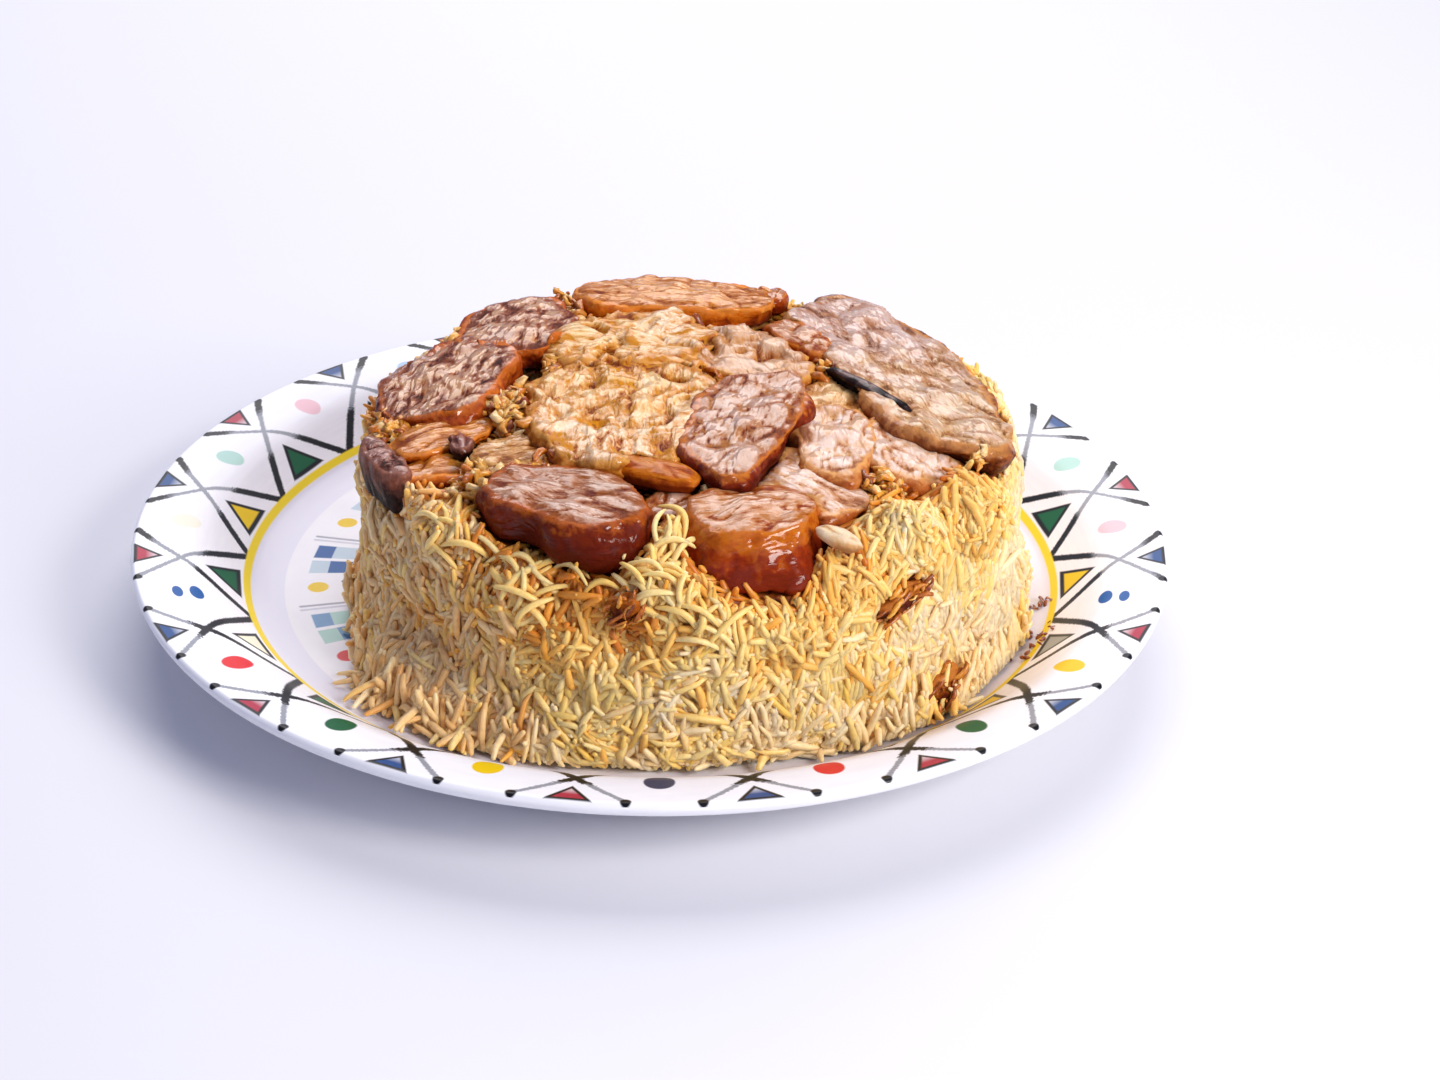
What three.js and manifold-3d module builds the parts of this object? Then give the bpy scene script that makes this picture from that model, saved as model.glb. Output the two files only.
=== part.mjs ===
// Plate of chicken maqluba: a turned-out drum of rice with a lid of browned potato, aubergine and
// chicken, on a round dinner plate. Millimetres, +Z up. The origin is the centre of the plate's foot,
// -Y faces the diner. Each slice and piece is one closed solid, and the rice is one more.
import * as THREE from 'three';
import * as BufferGeometryUtils from 'three/addons/utils/BufferGeometryUtils.js';
import Module from 'manifold-3d';

const wasm = await Module();
wasm.setup();

// Clearance that two neighbouring solids keep.
const GAP = 0.35;

// Plate: a dinner plate with a wide rim, steep up to its shoulder and nearly flat from there to the lip.
const PLATE = {
  rimRadius: 139, lipHeight: 22.5, lipThickness: 3.8, wall: 3.2,
  shoulderRadius: 124, shoulderHeight: 19.8,
  ringRadius: 109.6, ringHeight: 9.5, floorRadius: 98, floorHeight: 5,
  footOuter: 82, footInner: 76, footDepth: 2, segments: 56,
};

// Rice: a drum a little off the plate's centre, a bit wider at its foot.
const RICE = {
  x: 10, y: -13, footRadius: 90, waistRadius: 86.5, shoulderRadius: 84.5,
  shoulderHeight: 52.5, crestHeight: 58.8, topHeight: 57.5,
  columns: 108, rowHeight: 4.5, innerColumns: 18, innerRadius: 40,
};

// A cooked grain: its length in steps of the drum's mesh, and how far it stands out.
const GRAIN = { count: 430, rise: 1.25, riseSpread: 0.5, valley: -0.75 };

const COLOURS = {
  plate: 0xf4f3f6, rice: 0xd9b26a, potato: 0xa85a34, potatoPale: 0xb87d63, aubergine: 0x8d6f66,
  skin: 0x2b2024, chicken: 0xc79a6b, carrot: 0xcf7b22, onion: 0xd2a874, almond: 0xe3c39a,
  meat: 0x8a4f2a,
};

function material(colour, roughness) {
  return new THREE.MeshStandardMaterial({ color: colour, roughness, metalness: 0, flatShading: true });
}

// A small seeded generator, so that every build gives the same food.
function seeded(seed) {
  let state = seed >>> 0;
  return function next() {
    state = (state + 0x6d2b79f5) >>> 0;
    let t = state;
    t = Math.imul(t ^ (t >>> 15), t | 1);
    t ^= t + Math.imul(t ^ (t >>> 7), t | 61);
    return ((t ^ (t >>> 14)) >>> 0) / 4294967296;
  };
}

const radians = THREE.MathUtils.degToRad;

// Closed solids

function solidOf(geometry) {
  geometry.deleteAttribute('normal');
  geometry.deleteAttribute('uv');
  const merged = BufferGeometryUtils.mergeVertices(geometry, 1e-4);
  const triangles = [];
  const index = merged.index.array;
  for (let i = 0; i < index.length; i += 3) {
    const [a, b, c] = [index[i], index[i + 1], index[i + 2]];
    if (a !== b && b !== c && c !== a) {
      triangles.push(a, b, c);
    }
  }
  return new wasm.Manifold(new wasm.Mesh({
    numProp: 3,
    vertProperties: new Float32Array(merged.attributes.position.array),
    triVerts: new Uint32Array(triangles),
  }));
}

function geometryOf(solid) {
  const mesh = solid.getMesh();
  const geometry = new THREE.BufferGeometry();
  geometry.setAttribute('position', new THREE.BufferAttribute(new Float32Array(mesh.vertProperties), 3));
  geometry.setIndex(new THREE.BufferAttribute(new Uint32Array(mesh.triVerts), 1));
  geometry.computeVertexNormals();
  return geometry;
}

// A cut can leave crumbs: only the largest body is kept.
function largestBody(solid) {
  const bodies = solid.decompose();
  bodies.sort((a, b) => b.volume() - a.volume());
  return bodies[0];
}

function touch(a, b) {
  const boxA = a.boundingBox();
  const boxB = b.boundingBox();
  return [0, 1, 2].every((k) => boxA.min[k] < boxB.max[k] && boxB.min[k] < boxA.max[k]);
}

// Plate

function lathe(points, segments) {
  return new THREE.LatheGeometry(points.map(([r, z]) => new THREE.Vector2(r, z)), segments).rotateX(Math.PI / 2);
}

function plateTop() {
  const p = PLATE;
  return [
    [0, p.floorHeight],
    [p.floorRadius, p.floorHeight],
    [(p.floorRadius + p.ringRadius) / 2, p.floorHeight + 1.2],
    [p.ringRadius - 2, p.ringHeight - 1.6],
    [p.ringRadius, p.ringHeight],
    [p.shoulderRadius - 4, p.shoulderHeight - 2.3],
    [p.shoulderRadius, p.shoulderHeight],
    [p.rimRadius - 3, p.lipHeight - 0.4],
  ];
}

function plateGeometry() {
  const p = PLATE;
  const underLip = p.lipHeight - p.lipThickness;
  const profile = [
    ...plateTop(),
    [p.rimRadius - 1, p.lipHeight],
    [p.rimRadius, p.lipHeight - 1.2],
    [p.rimRadius - 1, underLip],
    [p.shoulderRadius + 1, p.shoulderHeight - p.wall - 0.3],
    [p.ringRadius + 2, p.ringHeight - p.wall],
    [p.footOuter + 4, p.footDepth],
    [p.footOuter, 0],
    [p.footInner, 0],
    [p.footInner - 1, p.footDepth],
    [0, p.footDepth],
  ];
  return lathe(profile.reverse(), p.segments);
}

// All that lies below the plate's upper face, raised by the clearance.
function plateClearance() {
  const below = -10;
  const raised = plateTop().map(([r, z]) => [r, z + GAP * 1.1]);
  const edge = raised.at(-1);
  const profile = [...raised, [edge[0] + 8, edge[1] + 3], [edge[0] + 8, below], [0, below]];
  return solidOf(lathe(profile.reverse(), PLATE.segments));
}

// Rice

// A smooth swelling round an angle in degrees.
function swelling(angle, centre, width) {
  const away = Math.abs(((angle - centre + 540) % 360) - 180);
  return away < width ? 0.5 + 0.5 * Math.cos((Math.PI * away) / width) : 0;
}

// The drum's radius at a height and an angle in degrees, before the grains.
function riceRadius(height, angle) {
  const loose = 7 * swelling(angle, -135, 45) - 4 * swelling(angle, -85, 35) + 1 * swelling(angle, -20, 40);
  const foot = RICE.footRadius + loose;
  const footHeight = 9;
  const uneven = 1.1 * Math.sin(radians(3 * angle + 40)) + 0.7 * Math.sin(radians(7 * angle) + height / 9);
  if (height < footHeight) {
    return foot + 1.5 - height / 6;
  }
  const rise = (height - footHeight) / (RICE.shoulderHeight - footHeight);
  const body = THREE.MathUtils.lerp(RICE.waistRadius, RICE.shoulderRadius, rise);
  const flare = (foot - RICE.waistRadius) * Math.max(0, 1 - rise * 2.6) ** 2;
  return body + flare + uneven;
}

// How far the rice sinks under the two thick pieces of potato at the front edge.
function frontDip(height, angle) {
  const sunk = 7 * swelling(angle, -112, 26) + 8 * swelling(angle, -78, 22);
  return sunk * THREE.MathUtils.smoothstep(height, 40, 58);
}

// Heights and radii of the rows of the drum's side and shoulder.
function riceRows() {
  const rows = [];
  const first = PLATE.floorHeight + GAP;
  const count = Math.round((RICE.shoulderHeight - first) / RICE.rowHeight);
  for (let row = 0; row <= count; row += 1) {
    rows.push({ height: first + ((RICE.shoulderHeight - first) * row) / count, inset: 0 });
  }
  rows.push({ height: RICE.shoulderHeight + 4.2, inset: 2 });
  rows.push({ height: RICE.crestHeight, inset: 5.5 });
  rows.push({ height: RICE.crestHeight, inset: 10 });
  rows.push({ height: RICE.topHeight, inset: 15 });
  return rows;
}

// Raised runs of mesh points: each is a grain lying on the drum in one of eight directions.
function grainRelief(rowCount) {
  const random = seeded(11);
  const relief = [];
  for (let row = 0; row < rowCount; row += 1) {
    relief.push(Array.from({ length: RICE.columns }, () => GRAIN.valley * (0.4 + 0.6 * random())));
  }
  const steps = [[1, 0], [0, 1], [1, 1], [1, -1], [0, 1], [1, 0], [2, 1], [2, -1]];
  for (let grain = 0; grain < GRAIN.count; grain += 1) {
    const row = 1 + Math.floor(random() * (rowCount - 1));
    const column = Math.floor(random() * RICE.columns);
    const [across, up] = steps[Math.floor(random() * steps.length)];
    const length = 2 + Math.floor(random() * 2);
    const rise = GRAIN.rise + GRAIN.riseSpread * (random() * 2 - 1);
    for (let step = 0; step < length; step += 1) {
      const r = row + up * step;
      const c = (column + across * step + RICE.columns) % RICE.columns;
      if (r > 0 && r < rowCount) {
        relief[r][c] = rise;
      }
    }
  }
  return relief;
}

function ring(radius, height, count) {
  const points = [];
  for (let i = 0; i < count; i += 1) {
    const angle = (i / count) * 2 * Math.PI;
    points.push(new THREE.Vector3(radius * Math.cos(angle), radius * Math.sin(angle), height));
  }
  return points;
}

function riceGeometry() {
  const rows = riceRows();
  const relief = grainRelief(rows.length);
  const rings = rows.map(({ height, inset }, row) => {
    const points = [];
    for (let column = 0; column < RICE.columns; column += 1) {
      const degrees = (column / RICE.columns) * 360;
      const angle = radians(degrees);
      const out = relief[row][column];
      const upward = inset > 0 ? Math.min(1, inset / 9) : 0;
      const dip = inset > 12 ? 0 : frontDip(height, degrees);
      const radius = riceRadius(Math.min(height, RICE.shoulderHeight), degrees) - inset + out * (1 - upward);
      const level = height + out * upward - dip;
      points.push(new THREE.Vector3(radius * Math.cos(angle), radius * Math.sin(angle), level));
    }
    return points;
  });
  const innerTop = ring(RICE.innerRadius, RICE.topHeight, RICE.innerColumns);
  const innerBottom = ring(RICE.innerRadius, PLATE.floorHeight + GAP, RICE.innerColumns);
  const positions = [];
  const triangles = [];
  const place = (points) => points.map((point) => positions.push(...point.toArray()) / 3 - 1);
  const placed = [innerBottom, ...rings, innerTop].map(place);
  const [bottomPole] = place([new THREE.Vector3(0, 0, PLATE.floorHeight + GAP)]);
  const [topPole] = place([new THREE.Vector3(0, 0, RICE.topHeight)]);
  const share = RICE.columns / RICE.innerColumns;

  const fan = (loop, pole, flip) => loop.forEach((a, i) => {
    const b = loop[(i + 1) % loop.length];
    triangles.push(...(flip ? [b, a, pole] : [a, b, pole]));
  });
  // Joins a fine ring to a coarse one that has one point for each `share` fine points.
  const half = Math.ceil(share / 2);
  const zip = (fine, coarse, flip) => coarse.forEach((near, i) => {
    const next = coarse[(i + 1) % coarse.length];
    for (let k = 0; k < share; k += 1) {
      const a = fine[(i * share + k) % fine.length];
      const b = fine[(i * share + k + 1) % fine.length];
      const hub = k < half ? near : next;
      triangles.push(...(flip ? [b, a, hub] : [a, b, hub]));
      if (k === half - 1) {
        triangles.push(...(flip ? [b, near, next] : [b, next, near]));
      }
    }
  });
  // Each square is split along its higher diagonal, so that a slanting grain stays a ridge.
  const band = (low, high, lowRelief, highRelief) => low.forEach((a, i) => {
    const j = (i + 1) % low.length;
    const [b, c, d] = [low[j], high[j], high[i]];
    const rising = lowRelief[i] + highRelief[j];
    const falling = lowRelief[j] + highRelief[i];
    triangles.push(...(rising > falling ? [a, b, c, a, c, d] : [a, b, d, b, c, d]));
  });

  fan(placed[0], bottomPole, true);
  zip(placed[1], placed[0], true);
  for (let row = 0; row + 1 < rings.length; row += 1) {
    band(placed[row + 1], placed[row + 2], relief[row], relief[row + 1]);
  }
  zip(placed[rings.length], placed[rings.length + 1], false);
  fan(placed[rings.length + 1], topPole, false);

  const geometry = new THREE.BufferGeometry();
  geometry.setAttribute('position', new THREE.BufferAttribute(new Float32Array(positions), 3));
  geometry.setIndex(triangles);
  return geometry.translate(RICE.x, RICE.y, 0);
}

// Patches of rice that stand higher between the pieces of the lid.
const RICE_MOUNDS = [
  { x: 41, y: 3, radius: 9, top: 65.5 },
  { x: -39, y: -23, radius: 9, top: 64.5 },
  { x: 2, y: -79, radius: 8, top: 64.5 },
  { x: 75, y: -57, radius: 12, top: 64 },
  { x: 60, y: -70, radius: 11, top: 63 },
];

function moundGeometry(mound, seed) {
  const random = seeded(seed);
  const geometry = new THREE.SphereGeometry(1, 9, 6);
  const position = geometry.attributes.position;
  const depth = 9;
  const bumps = new Map();
  for (let i = 0; i < position.count; i += 1) {
    const key = [0, 1, 2].map((k) => Math.round(position.getComponent(i, k) * 100) + 0).join();
    if (!bumps.has(key)) {
      bumps.set(key, 0.9 + 0.22 * random());
    }
    const swell = bumps.get(key);
    position.setXYZ(
      i,
      mound.x + position.getX(i) * mound.radius * swell,
      mound.y + position.getZ(i) * -mound.radius * swell,
      mound.top - depth + position.getY(i) * depth * swell,
    );
  }
  return geometry;
}

// Slices and pieces of the lid

// Each piece has its place and top height, its length, width and turn seen from above, and its
// thickness. It leans by `lean` degrees down towards `leanTo`. `square` makes its outline fuller than
// an ellipse, `egg` makes one end wider, `spread` makes the foot wider, `wobble` makes it uneven, and
// `lumps` is the height of the lumps on its upper face. Pieces further down the list are cut round
// those above them.
const PIECES = [
  { name: 'potato_slice_centre', x: 22.5, y: -37, z: 70, long: 57, wide: 27, turn: 74, thick: 8,
    egg: 0.1, square: 2.6, lean: 2, leanTo: -90, look: 'potatoPale' },
  { name: 'aubergine_skin_strip', x: 55, y: -14, z: 67, long: 34, wide: 3.4, turn: 126, thick: 4,
    square: 2.4, wobble: 0.02, sides: 10, look: 'skin' },
  { name: 'potato_wedge_back_right', x: 39, y: 20, z: 68.5, long: 30, wide: 11, turn: 122, thick: 8,
    square: 2.2, lean: 10, leanTo: 212, sides: 12, look: 'potato' },
  { name: 'carrot_strip', x: 0, y: -59, z: 67, long: 23, wide: 8, turn: 156, thick: 4.5,
    square: 3.5, wobble: 0.02, sides: 12, lean: 3, leanTo: -100, look: 'carrot' },
  { name: 'pepper_bit_left', x: -48, y: -42, z: 65, long: 10, wide: 5, turn: 96, thick: 4,
    sides: 8, look: 'skin' },
  { name: 'almond_sliver', x: 44, y: -84, z: 62, long: 11, wide: 4, turn: 160, thick: 3.2,
    sides: 8, lean: 30, leanTo: -62, wobble: 0.02, look: 'almond' },
  { name: 'tomato_bit_back', x: 34, y: 55, z: 66, long: 9, wide: 6, turn: 80, thick: 5,
    sides: 8, look: 'potato' },
  { name: 'chicken_piece_front', x: -8, y: -27, z: 67.5, long: 65, wide: 48, turn: 84, thick: 9,
    square: 2.3, lumps: 1.6, rings: 4, sides: 22, look: 'chicken' },
  { name: 'chicken_piece_back', x: -6, y: 19, z: 67, long: 44, wide: 35, turn: 22, thick: 8.5,
    square: 2.3, lumps: 1.6, rings: 3, sides: 20, look: 'chicken' },
  { name: 'chicken_piece_right', x: 26, y: 10, z: 67, long: 40, wide: 29, turn: 115, thick: 8.5,
    egg: 0.15, lumps: 1.4, rings: 3, look: 'chicken' },
  { name: 'potato_slice_back', x: 5, y: 52.5, z: 67, long: 56, wide: 28, turn: 170, thick: 8,
    square: 2.3, lean: 4, leanTo: 95, look: 'potato' },
  { name: 'potato_slice_back_left', x: -37, y: 28, z: 67, long: 40, wide: 32, turn: 62, thick: 8.5,
    square: 2.3, lean: 4, leanTo: 135, look: 'potato' },
  { name: 'potato_slice_left', x: -55, y: -6.5, z: 66, long: 48, wide: 33, turn: 80, thick: 9,
    square: 2.3, lean: 12, leanTo: 182, look: 'potato' },
  { name: 'onion_slice', x: 45, y: -15, z: 65.5, long: 26, wide: 19, turn: 80, thick: 6,
    lumps: 1, sides: 14, rings: 2, look: 'onion' },
  { name: 'aubergine_slice', x: 64, y: 7, z: 66.5, long: 106, wide: 38, turn: 111, thick: 8.5,
    square: 2.4, egg: -0.08, lean: 7, leanTo: 22, lumps: 1.1, rings: 3, sides: 26, look: 'aubergine' },
  { name: 'potato_slice_right_inner', x: 45, y: -39, z: 66, long: 35, wide: 21, turn: 88, thick: 7.5,
    square: 2.5, lean: 2, leanTo: -90, look: 'potatoPale' },
  { name: 'potato_slice_right_outer', x: 64, y: -40, z: 64.5, long: 33, wide: 24, turn: 84, thick: 8,
    square: 2.3, lean: 9, leanTo: -35, look: 'potatoPale' },
  { name: 'potato_slice_front_left', x: -21, y: -70.5, z: 65.5, long: 39, wide: 25, turn: 152, thick: 10.5,
    square: 2.4, egg: -0.12, spread: 0.05, lean: 3, leanTo: -110, look: 'potato' },
  { name: 'potato_chunk_front', x: 24, y: -75, z: 64.5, long: 31, wide: 22, turn: 12, thick: 13,
    square: 2.5, spread: 0.18, shift: 4.5, lean: 3, leanTo: -80, look: 'potato' },
  { name: 'potato_sliver_front', x: 4, y: -69, z: 63, long: 17, wide: 13, turn: 75, thick: 5,
    sides: 10, look: 'potatoPale' },
  { name: 'potato_slice_low_left', x: -54, y: -35, z: 63.5, long: 28, wide: 16, turn: 24, thick: 5,
    sides: 14, square: 2.4, lean: 8, leanTo: 200, look: 'potato' },
  { name: 'potato_slice_lower_left', x: -51.5, y: -46, z: 61, long: 22, wide: 13, turn: 18, thick: 5,
    sides: 12, lean: 8, leanTo: 215, look: 'potato' },
  { name: 'onion_strip_left', x: -36, y: -45, z: 64, long: 20, wide: 15, turn: 20, thick: 5,
    sides: 12, lean: 5, leanTo: -110, look: 'onion' },
  { name: 'potato_slice_low_right', x: 38, y: -58, z: 63, long: 33, wide: 24, turn: 128, thick: 5.5,
    sides: 16, square: 2.4, lean: 6, leanTo: -60, look: 'potatoPale' },
  { name: 'aubergine_piece_left', x: -67, y: -44, z: 61.5, long: 27, wide: 7.5, turn: 118, thick: 12,
    square: 2.4, sides: 14, lean: 6, leanTo: 212, look: 'skin' },
];

// Shreds of meat that lie in the drum's side, at an angle in degrees and a height.
const SHREDS = [
  { name: 'meat_shred_right', angle: -54, height: 43, long: 16, wide: 6, slant: 25 },
  { name: 'meat_shred_right_low', angle: -46, height: 15, long: 15, wide: 6, slant: 50 },
  { name: 'meat_shred_front', angle: -101, height: 49, long: 9, wide: 4, slant: 70 },
];

// An uneven round slab, made from a lathed unit body whose points are then moved.
function slabSolid(piece, seed, grow = 0) {
  const {
    long, wide, thick, turn = 0, square = 2.1, egg = 0, spread = 0, shift = 0, wobble = 0.05,
    lumps = 0, rings = 1, sides = 18, lean = 0, leanTo = 0,
  } = piece;
  const random = seeded(seed);
  const waves = [2, 3, 5].map((turns) => ({ turns, phase: random() * 2 * Math.PI, size: wobble * (0.4 + random()) }));
  const bumpWaves = [0, 1, 2, 3].map(() => ({
    angle: random() * Math.PI, length: 16 + 14 * random(), phase: random() * 2 * Math.PI,
  }));
  const edge = Math.min(0.16, 1.6 / wide);
  const profile = [[0, -1], [1 - edge, -1], [1, -0.35], [1 - edge, 0]];
  for (let step = 1; step < rings; step += 1) {
    profile.push([(1 - edge) * (1 - step / rings), 0]);
  }
  profile.push([0, 0]);
  const geometry = lathe(profile, sides);
  const position = geometry.attributes.position;
  const tilt = new THREE.Quaternion().setFromAxisAngle(
    new THREE.Vector3(-Math.sin(radians(leanTo)), Math.cos(radians(leanTo)), 0), radians(lean),
  );
  const point = new THREE.Vector3();
  for (let i = 0; i < position.count; i += 1) {
    point.fromBufferAttribute(position, i);
    const fraction = Math.hypot(point.x, point.y);
    const angle = Math.atan2(point.y, point.x);
    const level = point.z;
    const [cos, sin] = [Math.cos(angle), Math.sin(angle)];
    const outline = (Math.abs(cos) ** square + Math.abs(sin) ** square) ** (-1 / square);
    const uneven = waves.reduce((sum, wave) => sum + wave.size * Math.sin(wave.turns * angle + wave.phase), 1);
    const foot = 1 - spread * level;
    const reach = fraction * outline * uneven * foot;
    const x = reach * cos * (long / 2 + grow);
    const y = reach * sin * (wide / 2 + grow) * (1 + egg * cos);
    const crown = fraction < 0.99 && level === 0
      ? lumps * bumpWaves.reduce((sum, wave) => {
        const along = x * Math.cos(wave.angle) + y * Math.sin(wave.angle);
        return sum + 0.4 * Math.sin((2 * Math.PI * along) / wave.length + wave.phase);
      }, 0) * Math.min(1, 0.3 + 2 * fraction) + (0.8 + 0.5 * lumps) * (1 - fraction * fraction)
      : 0;
    const z = level * thick + crown + (level > -0.5 ? grow : -grow);
    const [c, s] = [Math.cos(radians(turn)), Math.sin(radians(turn))];
    point.set(x * c - y * s, x * s + y * c, z).applyQuaternion(tilt);
    const away = -level * shift;
    point.x += piece.x + away * Math.cos(radians(leanTo));
    point.y += piece.y + away * Math.sin(radians(leanTo));
    point.z += piece.z;
    position.setXYZ(i, point.x, point.y, point.z);
  }
  return solidOf(geometry);
}

// A flattened spindle sunk halfway into the drum's side.
function shredSolid(shred, grow = 0) {
  const radius = riceRadius(shred.height, shred.angle) + 0.3;
  const geometry = new THREE.SphereGeometry(1, 10, 6);
  geometry.scale(shred.long / 2 + grow, shred.wide / 2 + grow, 2.4 + grow);
  geometry.rotateZ(radians(shred.slant));
  geometry.rotateX(Math.PI / 2);
  geometry.rotateZ(radians(shred.angle + 90));
  geometry.translate(
    RICE.x + radius * Math.cos(radians(shred.angle)),
    RICE.y + radius * Math.sin(radians(shred.angle)),
    shred.height,
  );
  return solidOf(geometry);
}

// The whole dish

const dish = new THREE.Group();

function add(name, geometry, colour, roughness) {
  const mesh = new THREE.Mesh(geometry, material(colour, roughness));
  mesh.name = name;
  dish.add(mesh);
}

add('plate', plateGeometry(), COLOURS.plate, 0.2);

const placedAbove = [];
let rice = solidOf(riceGeometry());
RICE_MOUNDS.forEach((mound, number) => {
  rice = rice.add(solidOf(moundGeometry(mound, 70 + number)));
});
rice = rice.subtract(plateClearance());

PIECES.forEach((piece, number) => {
  const seed = 100 + number;
  let solid = slabSolid(piece, seed);
  const grown = slabSolid(piece, seed, GAP);
  for (const above of placedAbove) {
    if (touch(solid, above)) {
      solid = solid.subtract(above);
    }
  }
  placedAbove.push(grown);
  if (!rice.intersect(grown).isEmpty()) {
    rice = rice.subtract(grown);
  }
  add(piece.name, geometryOf(largestBody(solid)), COLOURS[piece.look], 0.45);
});

for (const shred of SHREDS) {
  rice = rice.subtract(shredSolid(shred, GAP));
  add(shred.name, geometryOf(shredSolid(shred)), COLOURS.meat, 0.6);
}

add('rice_cake', geometryOf(largestBody(rice)), COLOURS.rice, 0.7);

export default dish;
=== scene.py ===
# %% [markdown]
# Plate of chicken maqluba.
# Rice, potato, aubergine and chicken are cooked in layers in a pot, and the pot is turned out on a
# plate. What lay browned against the bottom of the pot is then the lid of a drum of rice. The
# solids of the dish are loaded first, as a fixed frame: everything below is fitted to them.

# %% The fixed frame
import math

import bmesh
import bpy
import numpy as np
from mathutils import Matrix, Vector
from mathutils.bvhtree import BVHTree


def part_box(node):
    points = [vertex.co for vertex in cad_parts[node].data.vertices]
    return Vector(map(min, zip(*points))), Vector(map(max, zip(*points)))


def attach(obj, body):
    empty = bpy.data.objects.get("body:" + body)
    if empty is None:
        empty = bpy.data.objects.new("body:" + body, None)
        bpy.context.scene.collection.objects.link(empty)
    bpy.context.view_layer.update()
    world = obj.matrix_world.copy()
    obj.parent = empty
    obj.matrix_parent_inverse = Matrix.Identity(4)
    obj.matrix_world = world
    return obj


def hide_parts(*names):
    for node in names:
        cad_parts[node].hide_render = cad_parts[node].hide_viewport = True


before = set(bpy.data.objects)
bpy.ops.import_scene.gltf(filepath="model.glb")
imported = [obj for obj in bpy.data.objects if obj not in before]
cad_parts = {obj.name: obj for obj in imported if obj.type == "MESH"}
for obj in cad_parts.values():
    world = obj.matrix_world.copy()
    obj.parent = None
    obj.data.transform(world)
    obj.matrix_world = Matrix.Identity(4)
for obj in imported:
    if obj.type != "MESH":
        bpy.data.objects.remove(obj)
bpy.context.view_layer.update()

MM = 0.001


# %% [markdown]
# The camera stands where the photographer stood: about 0.67 m from the plate, looking 28 degrees
# down, with a lens of 60 mm on a full frame. The marks on the plate's border gave those values. A
# slight turn and roll of the head are part of them, so that the border's dots fall in place.

# %% Camera
EYE = (0.0, -583.2, 325.7)
LOOK_DOWN, TURN_RIGHT, ROLL = 28.0, 1.8, 1.66
LENS, SENSOR = 60.35, 36.0

camera = bpy.data.objects.new("camera", bpy.data.cameras.new("camera"))
camera.data.lens = LENS
camera.data.sensor_width = SENSOR
camera.location = Vector(EYE) * MM
camera.rotation_mode = "QUATERNION"
camera.rotation_quaternion = (
    Matrix.Rotation(math.radians(-TURN_RIGHT), 3, "Z")
    @ Matrix.Rotation(math.radians(90 - LOOK_DOWN), 3, "X")
    @ Matrix.Rotation(math.radians(ROLL), 3, "Z")
).to_quaternion()
bpy.context.scene.collection.objects.link(camera)
bpy.context.scene.camera = camera
print("camera looks along", [round(v, 4) for v in camera.rotation_quaternion @ Vector((0, 0, -1))])

# %% [markdown]
# Colours are picked as sRGB hex codes, the way a paint program shows them. Blender's sockets want
# linear light, so one function turns a code into linear red, green and blue. Materials are made of
# nodes, and one small function adds a node, sets it up and joins its inputs.

# %% Colour and node helpers
def linear(code):
    """A colour such as '#c08040' as the linear RGBA that Blender works in."""
    parts = [int(code[i:i + 2], 16) / 255 for i in (1, 3, 5)]
    return tuple(p / 12.92 if p <= 0.04045 else ((p + 0.055) / 1.055) ** 2.4 for p in parts) + (1.0,)


def add(tree, kind, inputs=(), stops=None, **settings):
    """Adds a node. Each input gets a value, or a link from a socket or a node's first output."""
    node = tree.nodes.new("ShaderNode" + kind)
    for name, value in settings.items():
        setattr(node, name, value)
    if stops:
        while len(node.color_ramp.elements) < len(stops):
            node.color_ramp.elements.new(1.0)
        for element, (place, code) in zip(node.color_ramp.elements, stops):
            element.position = place
            element.color = linear(code) if isinstance(code, str) else (code, code, code, 1.0)
    pairs = inputs.items() if isinstance(inputs, dict) else enumerate(inputs)
    for key, value in pairs:
        source = value.outputs[0] if isinstance(value, bpy.types.Node) else value
        if isinstance(source, bpy.types.NodeSocket):
            tree.links.new(source, node.inputs[key])
        else:
            node.inputs[key].default_value = source
    return node


def new_material(name):
    """An empty material and its node tree."""
    material = bpy.data.materials.new(name)
    material.use_nodes = True
    material.node_tree.nodes.clear()
    return material, material.node_tree


def place_in_mm(tree):
    """Where the point being coloured lies, in millimetres from the middle of the plate's foot."""
    place = add(tree, "TexCoord").outputs["Object"]
    return add(tree, "VectorMath", {0: place, "Scale": 1 / MM}, operation="SCALE")


print("white is", linear("#ffffff"), "and mid grey is", round(linear("#808080")[0], 3))

# %% [markdown]
# Studio: a white table that runs out of the picture, under two big soft boxes. The strength of
# each was found by rendering the dish once for each of some twenty places of a lamp, and asking
# which mix gives the greys of the real table and plate. One box stands at the right, in front. The
# other hangs high behind: it throws the shadow forward, and it puts the wet shine on the lid,
# because a camera that looks 28 degrees down sees in a level face what lies up behind it. The rest
# of the room is a weak, bluish light from all sides.

# %% Floor and light
FLOOR_SIDE = 9000.0
AIM = (0.0, 0.0, 40.0)
ROOM_COLOUR, ROOM_STRENGTH = "#cdd5ff", 0.43


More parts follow.
